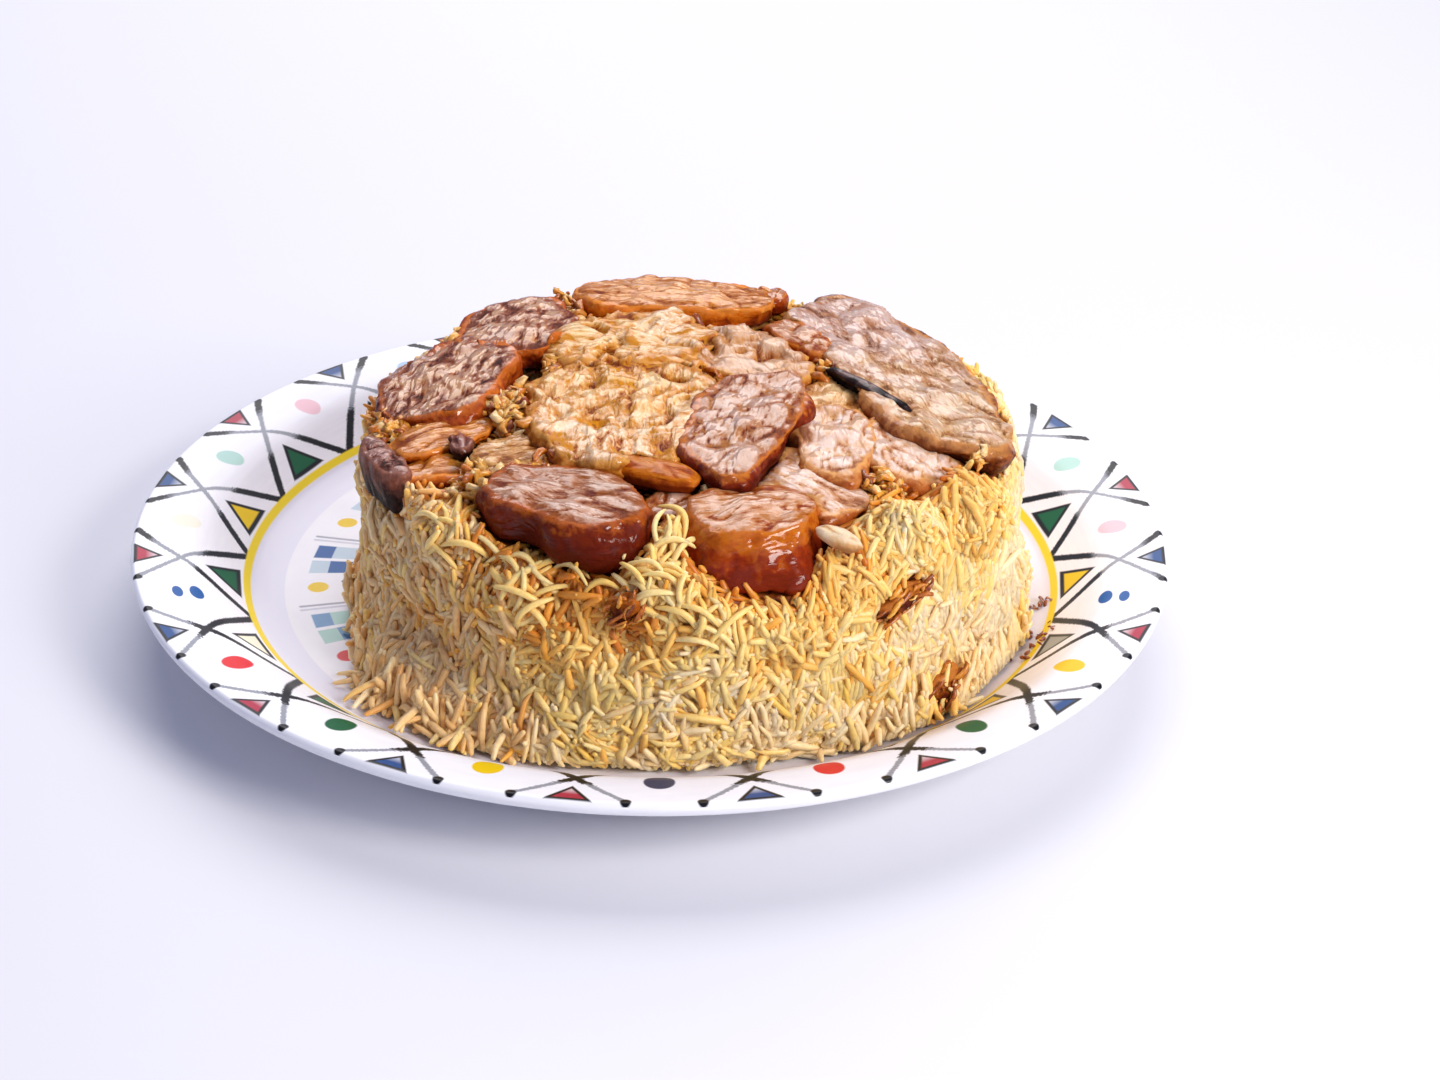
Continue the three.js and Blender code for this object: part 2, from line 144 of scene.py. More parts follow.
def studio_floor():
    """A flat square of matt laminate. It is scenery, not a part of the dish."""
    material, tree = new_material("Matt_white_laminate")
    speckle = add(tree, "TexNoise", {"Scale": 3.0, "Detail": 2.0})
    colour = add(tree, "ValToRGB", [speckle], stops=[(0.3, "#e1e1e6"), (0.7, "#e4e4e8")])
    shader = add(tree, "BsdfPrincipled", {"Base Color": colour, "Roughness": 0.6})
    add(tree, "OutputMaterial", [shader])
    mesh = bpy.data.meshes.new("floor")
    half = FLOOR_SIDE / 2 * MM
    corners = [(-half, -half, 0), (half, -half, 0), (half, half, 0), (-half, half, 0)]
    mesh.from_pydata(corners, [], [(0, 1, 2, 3)])
    mesh.materials.append(material)
    floor = bpy.data.objects.new("floor", mesh)
    bpy.context.scene.collection.objects.link(floor)


def soft_box(name, place, side, power, colour):
    """A square light of `side` mm at `place`, turned to the dish."""
    data = bpy.data.lights.new(name, "AREA")
    data.size = side * MM
    data.energy = power
    data.color = linear(colour)[:3]
    light = bpy.data.objects.new(name, data)
    light.location = Vector(place) * MM
    light.rotation_mode = "QUATERNION"
    light.rotation_quaternion = (Vector(AIM) - Vector(place)).to_track_quat("-Z", "Y")
    bpy.context.scene.collection.objects.link(light)


studio_floor()
soft_box("box_right", (760, -640, 640), 450, 11.8, "#fffaf4")
soft_box("box_behind", (0, 900, 1072), 1200, 16.8, "#fefaf8")

world = bpy.data.worlds.new("studio")
world.use_nodes = True
world.node_tree.nodes["Background"].inputs["Color"].default_value = linear(ROOM_COLOUR)
world.node_tree.nodes["Background"].inputs["Strength"].default_value = ROOM_STRENGTH
bpy.context.scene.world = world
bpy.context.scene.view_settings.view_transform = "Standard"

# %% [markdown]
# Meshes are handled as arrays of points in millimetres. These helpers make an object from points
# and faces, give it its place in the frame, and copy a solid of the dish as a fine mesh: a voxel
# remesh turns the coarse facets into small even squares, and smoothing then rounds the edges, as
# cooking does. Random numbers always come from a seed, so each run gives the same food.

# %% Mesh helpers
def read(mesh, field):
    """A vector for each point of a mesh, as rows."""
    flat = np.empty(len(mesh.vertices) * 3, np.float32)
    mesh.vertices.foreach_get(field, flat)
    return flat.reshape(-1, 3).astype(float)


def points_of(mesh):
    """A mesh's points in millimetres."""
    return read(mesh, "co") / MM


def normals_of(mesh):
    """The direction that each point faces."""
    return read(mesh, "normal")


def set_points(mesh, points):
    """Moves a mesh's points to places in millimetres."""
    mesh.vertices.foreach_set("co", (points * MM).astype(np.float32).ravel())
    mesh.update()


def store(mesh, name, values):
    """Keeps a number or a vector for each point, for a material to read."""
    kind, field = ("FLOAT", "value") if values.ndim == 1 else ("FLOAT_VECTOR", "vector")
    layer = mesh.attributes.new(name, kind, "POINT")
    layer.data.foreach_set(field, values.astype(np.float32).ravel())


def finish_piece(piece, material, nodes=()):
    """Gives a piece its finish, and its place and job in the frame."""
    piece.data.materials.clear()
    piece.data.materials.append(material)
    piece.data.polygons.foreach_set("use_smooth", [True] * len(piece.data.polygons))
    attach(piece, "root")
    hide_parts(*nodes)
    return piece


def piece_from(name, points, faces):
    """A new object from points in millimetres."""
    mesh = bpy.data.meshes.new(name)
    mesh.from_pydata((np.asarray(points) * MM).tolist(), [], faces)
    mesh.update()
    piece = bpy.data.objects.new(name, mesh)
    bpy.context.scene.collection.objects.link(piece)
    return piece


def fine_copy(node, name, voxel, rounds):
    """A solid's mesh again as small even squares, with its edges rounded by `rounds` of smoothing."""
    piece = bpy.data.objects.new(name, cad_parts[node].data.copy())
    bpy.context.scene.collection.objects.link(piece)
    remesh = piece.modifiers.new("even_squares", "REMESH")
    remesh.mode = "VOXEL"
    remesh.voxel_size = voxel * MM
    smooth = piece.modifiers.new("rounded", "SMOOTH")
    smooth.factor = 0.5
    smooth.iterations = rounds
    graph = bpy.context.evaluated_depsgraph_get()
    fine = bpy.data.meshes.new_from_object(piece.evaluated_get(graph))
    piece.modifiers.clear()
    piece.data = fine
    fine.name = name
    return piece


def unit(vectors):
    """Each row made 1 long."""
    return vectors / np.linalg.norm(vectors, axis=1)[:, None]


def fade(values, low, high):
    """0 up to `low`, 1 from `high` on, and straight between them."""
    return np.clip((values - low) / (high - low), 0, 1)


def ripple(points, size, seed):
    """A smooth random field from -1 to 1 over points, with lumps about `size` mm across."""
    place = points / size + seed * 7.31
    corner = np.floor(place).astype(np.int64)
    part = place - corner
    part = part * part * (3 - 2 * part)
    total = np.zeros(len(points))
    for number in range(8):
        step = np.array([number & 1, (number >> 1) & 1, (number >> 2) & 1])
        x, y, z = (corner + step).T
        mixed = (x * 73856093) ^ (y * 19349663) ^ (z * 83492791) ^ (seed * 2654435)
        mixed = ((mixed ^ (mixed >> 13)) * 1274126177) & 0x7FFFFFFF
        mixed = ((mixed ^ (mixed >> 15)) * 668265263) & 0x7FFFFFFF
        weight = np.prod(np.where(step == 1, part, 1 - part), axis=1)
        total += weight * (mixed / 0x3FFFFFFF - 1)
    return total


print("field at the origin:", round(float(ripple(np.zeros((1, 3)), 5, 1)[0]), 3))

# %% [markdown]
# The plate is pressed melamine: a white, glossy, hard plastic, thick at its lip and with a foot
# ring below. Its rim climbs steeply from the ring to a shoulder and runs nearly flat from there to
# the lip. A turned shape is drawn as half a section and carried round, here with 240 steps, so that
# its edge looks round. Each corner of the section is softened by a small curve, as in a mould.

# %% Plate shape
RIM_RADIUS, LIP_HEIGHT, LIP_DROP, WALL = 139.0, 22.5, 3.8, 3.2
RING_RADIUS, RING_HEIGHT = 109.6, 9.5
SHOULDER_RADIUS, SHOULDER_HEIGHT = 124.0, 19.8
WELL_RADIUS, WELL_HEIGHT = 98.0, 5.0
FOOT_OUTER, FOOT_INNER, FOOT_DEPTH = 82.0, 76.0, 2.0
# How far the curve at a corner of the section reaches along its sides.
CORNER = 2.5
PLATE_STEPS = 240


def plate_top():
    """Radius and height of the upper face, from the middle to the edge."""
    return [
        (0, WELL_HEIGHT), (WELL_RADIUS - 12, WELL_HEIGHT), (WELL_RADIUS, WELL_HEIGHT),
        ((WELL_RADIUS + RING_RADIUS) / 2, WELL_HEIGHT + 1.2), (RING_RADIUS - 2, RING_HEIGHT - 1.6),
        (RING_RADIUS, RING_HEIGHT), (SHOULDER_RADIUS - 4, SHOULDER_HEIGHT - 2.3),
        (SHOULDER_RADIUS, SHOULDER_HEIGHT), (RIM_RADIUS - 3, LIP_HEIGHT - 0.4),
    ]


def plate_section():
    """The whole section: over the upper face, round the lip, and back under the plate."""
    under = LIP_HEIGHT - LIP_DROP
    return plate_top() + [
        (RIM_RADIUS - 1, LIP_HEIGHT), (RIM_RADIUS, LIP_HEIGHT - 1.2), (RIM_RADIUS - 1, under),
        (SHOULDER_RADIUS + 1, SHOULDER_HEIGHT - WALL - 0.3), (RING_RADIUS + 2, RING_HEIGHT - WALL),
        (FOOT_OUTER + 4, FOOT_DEPTH), (FOOT_OUTER, 0),
        (FOOT_INNER, 0), (FOOT_INNER - 1, FOOT_DEPTH), (0, FOOT_DEPTH),
    ]


def softened(section, steps=4):
    """The section with each inner corner replaced by a short curve."""
    soft = [np.array(section[0], float)]
    for before, corner, after in zip(section, section[1:], section[2:]):
        before, corner, after = (np.array(p, float) for p in (before, corner, after))
        back, on = np.linalg.norm(before - corner), np.linalg.norm(after - corner)
        reach = min(CORNER, back * 0.4, on * 0.4)
        start = corner + (before - corner) / back * reach
        end = corner + (after - corner) / on * reach
        for t in np.linspace(0, 1, steps):
            soft.append((1 - t) ** 2 * start + 2 * t * (1 - t) * corner + t ** 2 * end)
    soft.append(np.array(section[-1], float))
    return np.array(soft)


def plate_mesh():
    """Points and faces of the section carried round."""
    section = softened(plate_section())
    inner = section[1:-1]
    angles = np.arange(PLATE_STEPS) * 2 * math.pi / PLATE_STEPS
    rings = [
        np.column_stack([r * np.cos(angles), r * np.sin(angles), np.full(PLATE_STEPS, z)])
        for r, z in inner
    ]
    points = np.vstack(rings + [[(0, 0, section[0][1])], [(0, 0, section[-1][1])]])
    top, bottom = len(points) - 2, len(points) - 1
    faces = []
    for i in range(PLATE_STEPS):
        j = (i + 1) % PLATE_STEPS
        faces.append((top, i, j))
        for row in range(len(inner) - 1):
            a, b = row * PLATE_STEPS, (row + 1) * PLATE_STEPS
            faces.append((a + i, b + i, b + j, a + j))
        last = (len(inner) - 1) * PLATE_STEPS
        faces.append((last + i, bottom, last + j))
    return points, faces


plate = piece_from("melamine_plate", *plate_mesh())
print("plate:", len(plate.data.polygons), "faces")

# %% [markdown]
# The border is a printed foil, pressed into the plate while it is moulded, so it lies level under
# the gloss. It is drawn here by sums on each point's radius and angle, all in millimetres. The
# ring of 360 degrees is cut into 20 equal windows, and each motif is worked out once in its own
# window: two brush strokes that cross, dots and triangles. A window's number then picks
# the colours. Nothing is an image, so the print is sharp at any distance.

# %% Motifs as distances
REPEATS = 20
WINDOW = 360 / REPEATS
# The angle of the first stroke's foot, in degrees from the right.
FIRST_FOOT = -160.6
INK_BLUR = 0.2


def at(angle, radius):
    """A place in a motif's window: degrees from the stroke's foot, and millimetres from the centre."""
    turn = math.radians(angle)
    return Vector((radius * math.cos(turn), radius * math.sin(turn), 0))


def window_of(tree, angle, radius, start, width=WINDOW, first=FIRST_FOOT):
    """The point inside a window that begins `start` degrees from the foot, and the window's number."""
    centred = add(tree, "Math", [angle, math.radians(first)], operation="SUBTRACT")
    low, high = math.radians(start), math.radians(start + width)
    local = add(tree, "Math", [centred, high, low], operation="WRAP")
    across = add(tree, "Math", [local], operation="COSINE")
    across = add(tree, "Math", [across, radius], operation="MULTIPLY")
    up = add(tree, "Math", [local], operation="SINE")
    up = add(tree, "Math", [up, radius], operation="MULTIPLY")
    number = add(tree, "Math", [centred, local], operation="SUBTRACT")
    number = add(tree, "Math", [number, 1 / math.radians(width)], operation="MULTIPLY")
    number = add(tree, "Math", [number], operation="ROUND")
    return add(tree, "CombineXYZ", [across, up, 0.0]), number


def from_line(tree, point, start, end):
    """Distance to a straight stroke."""
    run = end - start
    offset = add(tree, "VectorMath", [point, start], operation="SUBTRACT")
    along = add(tree, "VectorMath", [offset, run], operation="DOT_PRODUCT").outputs["Value"]
    share = add(tree, "Math", [along, 1 / run.length_squared], operation="MULTIPLY", use_clamp=True)
    nearest = add(tree, "VectorMath", {0: run, "Scale": share}, operation="SCALE")
    return add(tree, "VectorMath", [offset, nearest], operation="DISTANCE").outputs["Value"]


def from_arch(tree, point, start, middle, end):
    """Distance to the circle through three places."""
    a, b = middle - start, end - start
    d = 2 * (a.x * b.y - a.y * b.x)
    centre = start + Vector((
        (b.y * a.length_squared - a.y * b.length_squared) / d,
        (a.x * b.length_squared - b.x * a.length_squared) / d, 0,
    ))
    away = add(tree, "VectorMath", [point, centre], operation="DISTANCE").outputs["Value"]
    signed = add(tree, "Math", [away, (start - centre).length], operation="SUBTRACT")
    return add(tree, "Math", [signed], operation="ABSOLUTE")


def from_spot(tree, point, centre, stretch=(1, 1, 1)):
    """Distance to a place, made longer or shorter along the window's axes."""
    offset = add(tree, "VectorMath", [point, centre], operation="SUBTRACT")
    scaled = add(tree, "VectorMath", [offset, stretch], operation="MULTIPLY")
    return add(tree, "VectorMath", [scaled], operation="LENGTH").outputs["Value"]


def from_outline(tree, point, corners):
    """Distance to a shape with straight sides: less than 0 inside it."""
    middle = sum(corners, Vector()) / len(corners)
    sides = []
    for a, b in zip(corners, corners[1:] + corners[:1]):
        out = (b - a).cross(Vector((0, 0, 1))).normalized()
        out = -out if out.dot(middle - a) > 0 else out
        level = add(tree, "VectorMath", [point, out], operation="DOT_PRODUCT").outputs["Value"]
        sides.append(add(tree, "Math", [level, out.dot(a)], operation="SUBTRACT"))
    distance = sides[0]
    for side in sides[1:]:
        distance = add(tree, "Math", [distance, side], operation="MAXIMUM")
    return distance


def printed(tree, ground, layers):
    """Lays each colour over the ground where its distance is under its reach. The edge is as soft
    as printer's ink."""
    for distance, reach, colour in layers:
        mask = add(tree, "MapRange", {
            "Value": distance, "From Min": reach - INK_BLUR, "From Max": reach + INK_BLUR,
            "To Min": 1.0, "To Max": 0.0,
        })
        top = linear(colour) if isinstance(colour, str) else colour
        ground = add(tree, "Mix", {0: mask, 6: ground, 7: top}, data_type="RGBA").outputs[2]
    return ground


def colours_by_number(tree, number, codes):
    """Gives each window the colour of its number."""
    count = len(codes)
    share = add(tree, "Math", [number, 0.5], operation="ADD")
    share = add(tree, "Math", [share, 1 / count], operation="MULTIPLY")
    share = add(tree, "Math", [share], operation="FRACT")
    stops = [(i / count, code) for i, code in enumerate(codes)]
    ramp = add(tree, "ValToRGB", [share], stops=stops)
    ramp.color_ramp.interpolation = "CONSTANT"
    return ramp.outputs[0]


print("one window is", WINDOW, "degrees, or", round(math.radians(WINDOW) * SHOULDER_RADIUS, 1), "mm")

# %% [markdown]
# The border's strokes look drawn with a brush. Two rise from each foot on the ring, and each
# crosses its neighbour's halfway between two feet. A stroke is an arch through three places. It
# starts broad and black, then the brush runs dry and draws a thin grey line, and it ends in a
# black dab. One value, how much ink is spent, gives both the tone and the width.

# %% Brush strokes of the border
INK, DRY_INK = "#08090d", "#969aa2"
CROSSING_RADIUS, HEAD_RADIUS = 126.0, 137.5
CROSSING_ANGLE, HEAD_ANGLE = 9.0, 14.4
STROKE_HALF, DAB_HALF = 1.05, 1.3


def border_strokes(tree, angle, radius):
    """The brush strokes as layers of the print: distance, reach and colour."""
    rise = add(tree, "MapRange", {"Value": radius, "From Min": RING_RADIUS, "From Max": HEAD_RADIUS})
    # At the front of the plate the brush held more ink, and the black goes on for longer.
    back = add(tree, "Math", [angle], operation="SINE")
    spare = add(tree, "MapRange", {
        "Value": back, "From Min": -0.45, "From Max": -0.1, "To Min": -0.33, "To Max": 0.0,
    })
    # Without a vector a noise spans the plate's 278 mm once, so the brush's hairs are 1 mm wide.
    brush = add(tree, "TexNoise", {"Scale": 260.0, "Detail": 1.0})
    spent = add(tree, "Math", [brush, 0.12, rise], operation="MULTIPLY_ADD")
    spent = add(tree, "Math", [spent, spare], operation="ADD")
    tone = add(tree, "ValToRGB", [spent], stops=[
        (0.0, INK), (0.40, INK), (0.45, DRY_INK), (0.85, DRY_INK), (0.94, INK), (1.0, INK),
    ]).outputs[0]
    # The dry part is thinner, and the brush's hairs make every edge uneven.
    dry = add(tree, "Math", [spent, 0.65], operation="SUBTRACT")
    dry = add(tree, "Math", [dry], operation="ABSOLUTE")
    thin = add(tree, "MapRange", {
        "Value": dry, "From Min": 0.20, "From Max": 0.25, "To Min": 0.35, "To Max": 0.0,
    })
    swell = add(tree, "MapRange", {
        "Value": brush, "From Min": 0.3, "From Max": 0.7, "To Min": -0.2, "To Max": 0.2,
    })
    swell = add(tree, "Math", [swell, thin], operation="ADD")
    # How far a point is from the rim's printed band, with the strokes' own half width added.
    middle = (RING_RADIUS + HEAD_RADIUS) / 2
    beside = add(tree, "Math", [radius, middle], operation="SUBTRACT")
    beside = add(tree, "Math", [beside], operation="ABSOLUTE")
    beside = add(tree, "Math", [beside, HEAD_RADIUS - middle - 1.0], operation="SUBTRACT")

    layers = []
    foot = at(0, RING_RADIUS)
    for side, start in ((-1, -16.2), (1, -1.8)):
        point, _ = window_of(tree, angle, radius, start)
        head = at(side * HEAD_ANGLE, HEAD_RADIUS)
        stroke = from_arch(tree, point, foot, at(side * CROSSING_ANGLE, CROSSING_RADIUS), head)
        stroke = add(tree, "Math", [stroke, swell], operation="ADD")
        stroke = add(tree, "Math", [stroke, beside], operation="MAXIMUM")
        layers += [(stroke, STROKE_HALF, tone), (from_spot(tree, point, head), DAB_HALF, INK)]
    return layers


print("a stroke runs from", RING_RADIUS, "to", HEAD_RADIUS, "mm and is", 2 * STROKE_HALF, "mm wide")

# %% [markdown]
# Between the strokes lie small triangles with a black outline and flat dots, in four colours that
# take turns round the plate. Each motif sits at fixed degrees and millimetres in its window. Round
# the far half the dots are printed pale, and two fields have a pair of flat dots instead of one.

# %% Triangles and dots of the border
RED, GREEN, YELLOW, BLUE, NAVY = "#e0282c", "#005e36", "#f2cc00", "#0c569c", "#323a5a"
DARK_RED, DARK_BLUE = "#b02a44", "#1e4c88"
PALE_RED, PALE_GREEN, PALE_YELLOW, PALE_BLUE = "#f2c2ca", "#b2dacd", "#f5f1dc", "#b2d0ea"
WINDOWS_WITH_PAIRS = (0, 8)


def border_triangles(tree, angle, radius):
    """A triangle between two feet on the ring, and a small one at the plate's edge."""
    point, number = window_of(tree, angle, radius, 0.0)
    inner = from_outline(tree, point, [at(5.6, 111.8), at(12.4, 111.8), at(9.0, 119.2)])
    fills = [GREEN if i % 2 else YELLOW for i in range(REPEATS)]
    fills[0], fills[7] = "#f4f0d6", "#a3a6a2"
    fills = colours_by_number(tree, number, fills)
    layers = [(inner, 0.5, INK), (inner, -0.6, fills)]

    point, number = window_of(tree, angle, radius, -18.0)
    outer = from_outline(tree, point, [at(-10.9, 137.6), at(-7.1, 137.6), at(-9.0, 131.2)])
    fills = colours_by_number(tree, number, [DARK_BLUE if i % 2 else DARK_RED for i in range(REPEATS)])
    rich = add(tree, "MapRange", {"Value": radius, "From Min": 132.5, "From Max": 135.0, "To Min": 0.4})
    fill = add(tree, "Mix", {0: rich, 6: linear("#eef0f4"), 7: fills}, data_type="RGBA").outputs[2]
    return layers + [(outer, 0.45, INK), (outer, -0.45, fill)]


def border_dots(tree, angle, radius):
    """One dot in the middle of each field, or a pair of flat ones."""
    point, number = window_of(tree, angle, radius, -9.9)
    rich = [RED, GREEN, YELLOW, NAVY]
    pale = [PALE_RED, PALE_GREEN, PALE_YELLOW, PALE_BLUE]
    codes = [BLUE] + rich + rich[:3] + [BLUE] + pale * 2 + pale[:3]
    dot = from_spot(tree, point, at(-0.4, 126.2), (0.9, 0.97, 1))
    pair = [
        from_spot(tree, point, at(-0.4, 128.4), (2.6, 1.2, 1)),
        from_spot(tree, point, at(-0.4, 123.6), (2.0, 1.0, 1)),
    ]
    pair = add(tree, "Math", pair, operation="MINIMUM")
    for field in WINDOWS_WITH_PAIRS:
        here = add(tree, "Math", [number, float(field), 0.5], operation="COMPARE")
        dot = add(tree, "Mix", {0: here, 2: dot, 3: pair}).outputs[0]
    return [(dot, 3.5, colours_by_number(tree, number, codes))]


print("triangles:", 2 * REPEATS, "and fields of dots:", REPEATS)

# %% [markdown]
# The well gets a plain design of its own, in the border's colours: pairs of bars with a cap, thin
# grey lines, a dot and a dash. It repeats in wider windows, and only its outer part shows, because
# the rice covers the rest.

# %% Design of the well
WELL_WINDOW = 24.0


def well_design(tree, angle, radius):
    """A plain design for the well: pairs of bars between grey lines, with a dot and a dash beside."""
    point, number = window_of(tree, angle, radius, -WELL_WINDOW / 2, WELL_WINDOW, 180.0)
    layers = [
        (from_line(tree, point, at(turn, 60), at(turn, 96)), 0.5, grey)
        for turn, grey in ((-11.0, "#a9aab6"), (-9.8, "#d3d4de"))
    ]
    light, deep = ["#c2d6e2", PALE_GREEN, "#c2d6e2"], [BLUE, "#6f9cc4", NAVY]
    for left, codes, cap in ((-8.0, light, deep), (-2.6, deep, light)):
        for low, high, fills in ((78, 89, codes), (89, 94, cap)):
            corners = [at(left, low), at(left + 4.4, low), at(left + 4.4, high), at(left, high)]
            bar = from_outline(tree, point, corners)
            layers.append((bar, 0.0, colours_by_number(tree, number, fills)))
    layers.append((from_line(tree, point, at(5.0, 84), at(9.5, 80)), 0.8, INK))
    dot = from_spot(tree, point, at(6.8, 91))
    return layers + [(dot, 2.8, colours_by_number(tree, number, [RED, YELLOW]))]


print("the well's design repeats", int(360 / WELL_WINDOW), "times")

# %% [markdown]
# Melamine: pressed and cured under heat, so its surface is as smooth as the polished mould. It
# gives the eye a clean white with sharp, narrow reflections. New melamine has an index of
# refraction of about 1.6. The real plate's shine is weaker, as if dulled by washing, and the values
# follow it. The print's layers go over the white one by one, and the yellow ring comes last.

# %% Printed melamine
RING_YELLOW = "#f8dc24"
RING_HALF = 0.95
# The middle and half the width of the low wall round the well, where painted shade lies.
SHADED_WALL_RADIUS, SHADED_WALL_HALF = WELL_RADIUS + 6.5, 4.6


def printed_melamine():
    """White melamine with its print, a little cloudy, and painted shade on the low wall round the well.
    """
    material, tree = new_material("Pressed_white_melamine_with_printed_border")
    across, deep = add(tree, "SeparateXYZ", [place_in_mm(tree)]).outputs[:2]
    flat = add(tree, "CombineXYZ", [across, deep, 0.0])
    radius = add(tree, "VectorMath", [flat], operation="LENGTH").outputs["Value"]
    angle = add(tree, "Math", [deep, across], operation="ARCTAN2")
    cloud = add(tree, "TexNoise", {"Scale": 25.0, "Detail": 2.0})
    white = add(tree, "ValToRGB", [cloud], stops=[(0.35, "#f6f6fa"), (0.65, "#fbfbfe")]).outputs[0]

    ring = add(tree, "Math", [radius, RING_RADIUS], operation="SUBTRACT")
    ring = add(tree, "Math", [ring], operation="ABSOLUTE")
    # The low wall between the well and the ring is painted a shade greyer than the rest: painted shade,
    # for the shadow that lies on it.
    wall = add(tree, "Math", [radius, SHADED_WALL_RADIUS], operation="SUBTRACT")
    wall = add(tree, "Math", [wall], operation="ABSOLUTE")
    white = printed(tree, white, [(wall, SHADED_WALL_HALF, "#ececf8")])
    layers = well_design(tree, angle, radius) + border_triangles(tree, angle, radius)
    layers += border_dots(tree, angle, radius) + border_strokes(tree, angle, radius)
    ground = printed(tree, white, layers + [(ring, RING_HALF, RING_YELLOW)])
    # The foil lies on the upper face alone: the lip's side and the underside stay white.
    upper = add(tree, "SeparateXYZ", [add(tree, "NewGeometry").outputs["Normal"]]).outputs[2]
    shown = add(tree, "Math", [upper, 0.5], operation="GREATER_THAN")
    colour = add(tree, "Mix", {0: shown, 6: white, 7: ground}, data_type="RGBA").outputs[2]
    shader = add(tree, "BsdfPrincipled", {
        "Base Color": colour, "Roughness": 0.36, "IOR": 1.5, "Specular IOR Level": 0.25,
    })
    add(tree, "OutputMaterial", [shader])
    return material


finish_piece(plate, printed_melamine(), ["plate"])
print("plate material:", len(plate.data.materials[0].node_tree.nodes), "nodes")

# %% [markdown]
# The lid is what the bottom of the pot browned: rounds of potato, aubergine and pieces of chicken.
# Each piece starts from its solid as a fine copy, and two reliefs are pushed in along the normals.
# The form is broad: dents where the pieces pressed on each other. The texture is fine: creases in
# the dried skin, fibres of meat, pits. A crease is a thin valley where a random field, drawn out
# along the piece, passes zero. The texture's height is stored with the mesh, because the colours
# follow it: the creases are dark, partly for the juice that lies in them and partly as painted
# shade, and the ridges between them are pale, partly as painted highlights.

# %% Relief of the lid
# Squares of the fine copies in mm, for most pieces and for the small ones, and their smoothing.
FINE, FINER, ROUNDS = 0.85, 0.5, 3
# How many times as long as wide the streaks are.
DRAWN_OUT = 3.0
# How far a cooked piece swells past its solid, and how wide its browned edge is, in mm.
SWELL, BROWNED_EDGE = 1.0, 7.0
# Directions in which a piece's outline is measured.
SECTORS = 48
UP = np.array([0.0, 0.0, 1.0])


def long_axis(points):
    """The direction in which a piece is longest, seen from above."""
    flat = points[:, :2] - points[:, :2].mean(axis=0)
    vectors = np.linalg.eigh(flat.T @ flat)[1]
    return np.array([*vectors[:, 1], 0.0])


def stretched(points, axis, factor):
    """Points squeezed along an axis, so that a field over them is drawn out along it."""
    along = points @ axis
    return points - np.outer(along * (1 - 1 / factor), axis)


def wandered(points, size, reach, seed):
    """Points moved about by a field, so that the lines over them wander."""
    return points + reach * np.column_stack([ripple(points, size, seed + k) for k in (40, 41, 42)])


def creases(points, size, seed, width=0.25):
    """Thin valleys of depth 1, about `size` mm apart."""
    return -np.maximum(0, 1 - np.abs(ripple(points, size, seed)) / width)


def slice_relief(points, axis, seed):
    """A browned slice: a soft, uneven outline, and a skin that dried in creases along it."""
    form = 3.0 * ripple(points, 13, seed) + 1.4 * ripple(points, 6, seed + 1)
    way = stretched(wandered(points, 8, 2.6, seed), axis, 3)
    texture = 0.46 * creases(way, 2.8, seed + 2) + 0.24 * ripple(way, 2.1, seed + 3)
    return form, texture + 0.14 * ripple(points, 1.9, seed + 4)


def flakes(points, size, seed, layers):
    """Layers that lap over each other: the height climbs slowly from 0 to 1, then drops at once."""
    level = layers * ripple(points, size, seed)
    return level - np.floor(level)


def meat_relief(points, axis, seed):
    """Cooked chicken: lumps, layers of meat that came apart, their fibres, and deep pits."""
    form = 1.8 * ripple(points, 9, seed) + 0.9 * ripple(points, 4, seed + 1)
    way = wandered(points, 9, 4.0, seed)
    layers = 1.5 * flakes(stretched(way, axis, 2.8), 12, seed + 2, 2.8)
    fibres = 0.6 * creases(stretched(way, axis, 3.5), 2.6, seed + 4, 0.5)
    fibres = fibres + 0.5 * ripple(stretched(way, axis, 2.0), 2.4, seed + 3)
    pits = np.maximum(0, ripple(way, 5.5, seed + 5) - 0.3)
    return form, layers + fibres - 4.5 * pits


def aubergine_relief(points, axis, seed):
    """Fried aubergine: spongy flesh that has sunk in folds, with seeds that stand out."""
    form = 2.4 * ripple(points, 14, seed) + 1.0 * ripple(points, 6, seed + 1)
    way = stretched(wandered(points, 11, 3.4, seed), axis, 2.5)
    seeds = np.maximum(0, ripple(points, 1.9, seed + 3) - 0.35)
    texture = 0.55 * creases(way, 5.5, seed + 2) + 0.5 * ripple(way, 3.2, seed + 5)
    return form, texture + 0.5 * seeds + 0.15 * ripple(points, 2.0, seed + 6)


def skin_relief(points, axis, seed):
    """Skin that has shrivelled in long upright folds."""
    way = stretched(wandered(points, 8, 1.5, seed), UP, 4)
    return 0.3 * ripple(points, 7, seed), 0.9 * creases(way, 3.6, seed + 2, 0.6)


def small_relief(points, axis, seed):
    """A strip or a bit: shallow lumps and a few lines along it."""
    way = stretched(wandered(points, 5, 0.8, seed), axis, 5)
    return 0.25 * ripple(points, 4, seed), 0.22 * creases(way, 1.8, seed + 2, 0.4)


def shred_relief(points, axis, seed):
    """Torn meat: ragged outline, and fibres that stand apart."""
    way = stretched(wandered(points, 4, 1.0, seed), axis, 4)
    form = 1.1 * ripple(points, 3.2, seed) + 0.5 * ripple(points, 1.6, seed + 1)
    return form, 0.7 * creases(way, 1.5, seed + 2, 0.6) + 0.4 * ripple(way, 1.4, seed + 3)


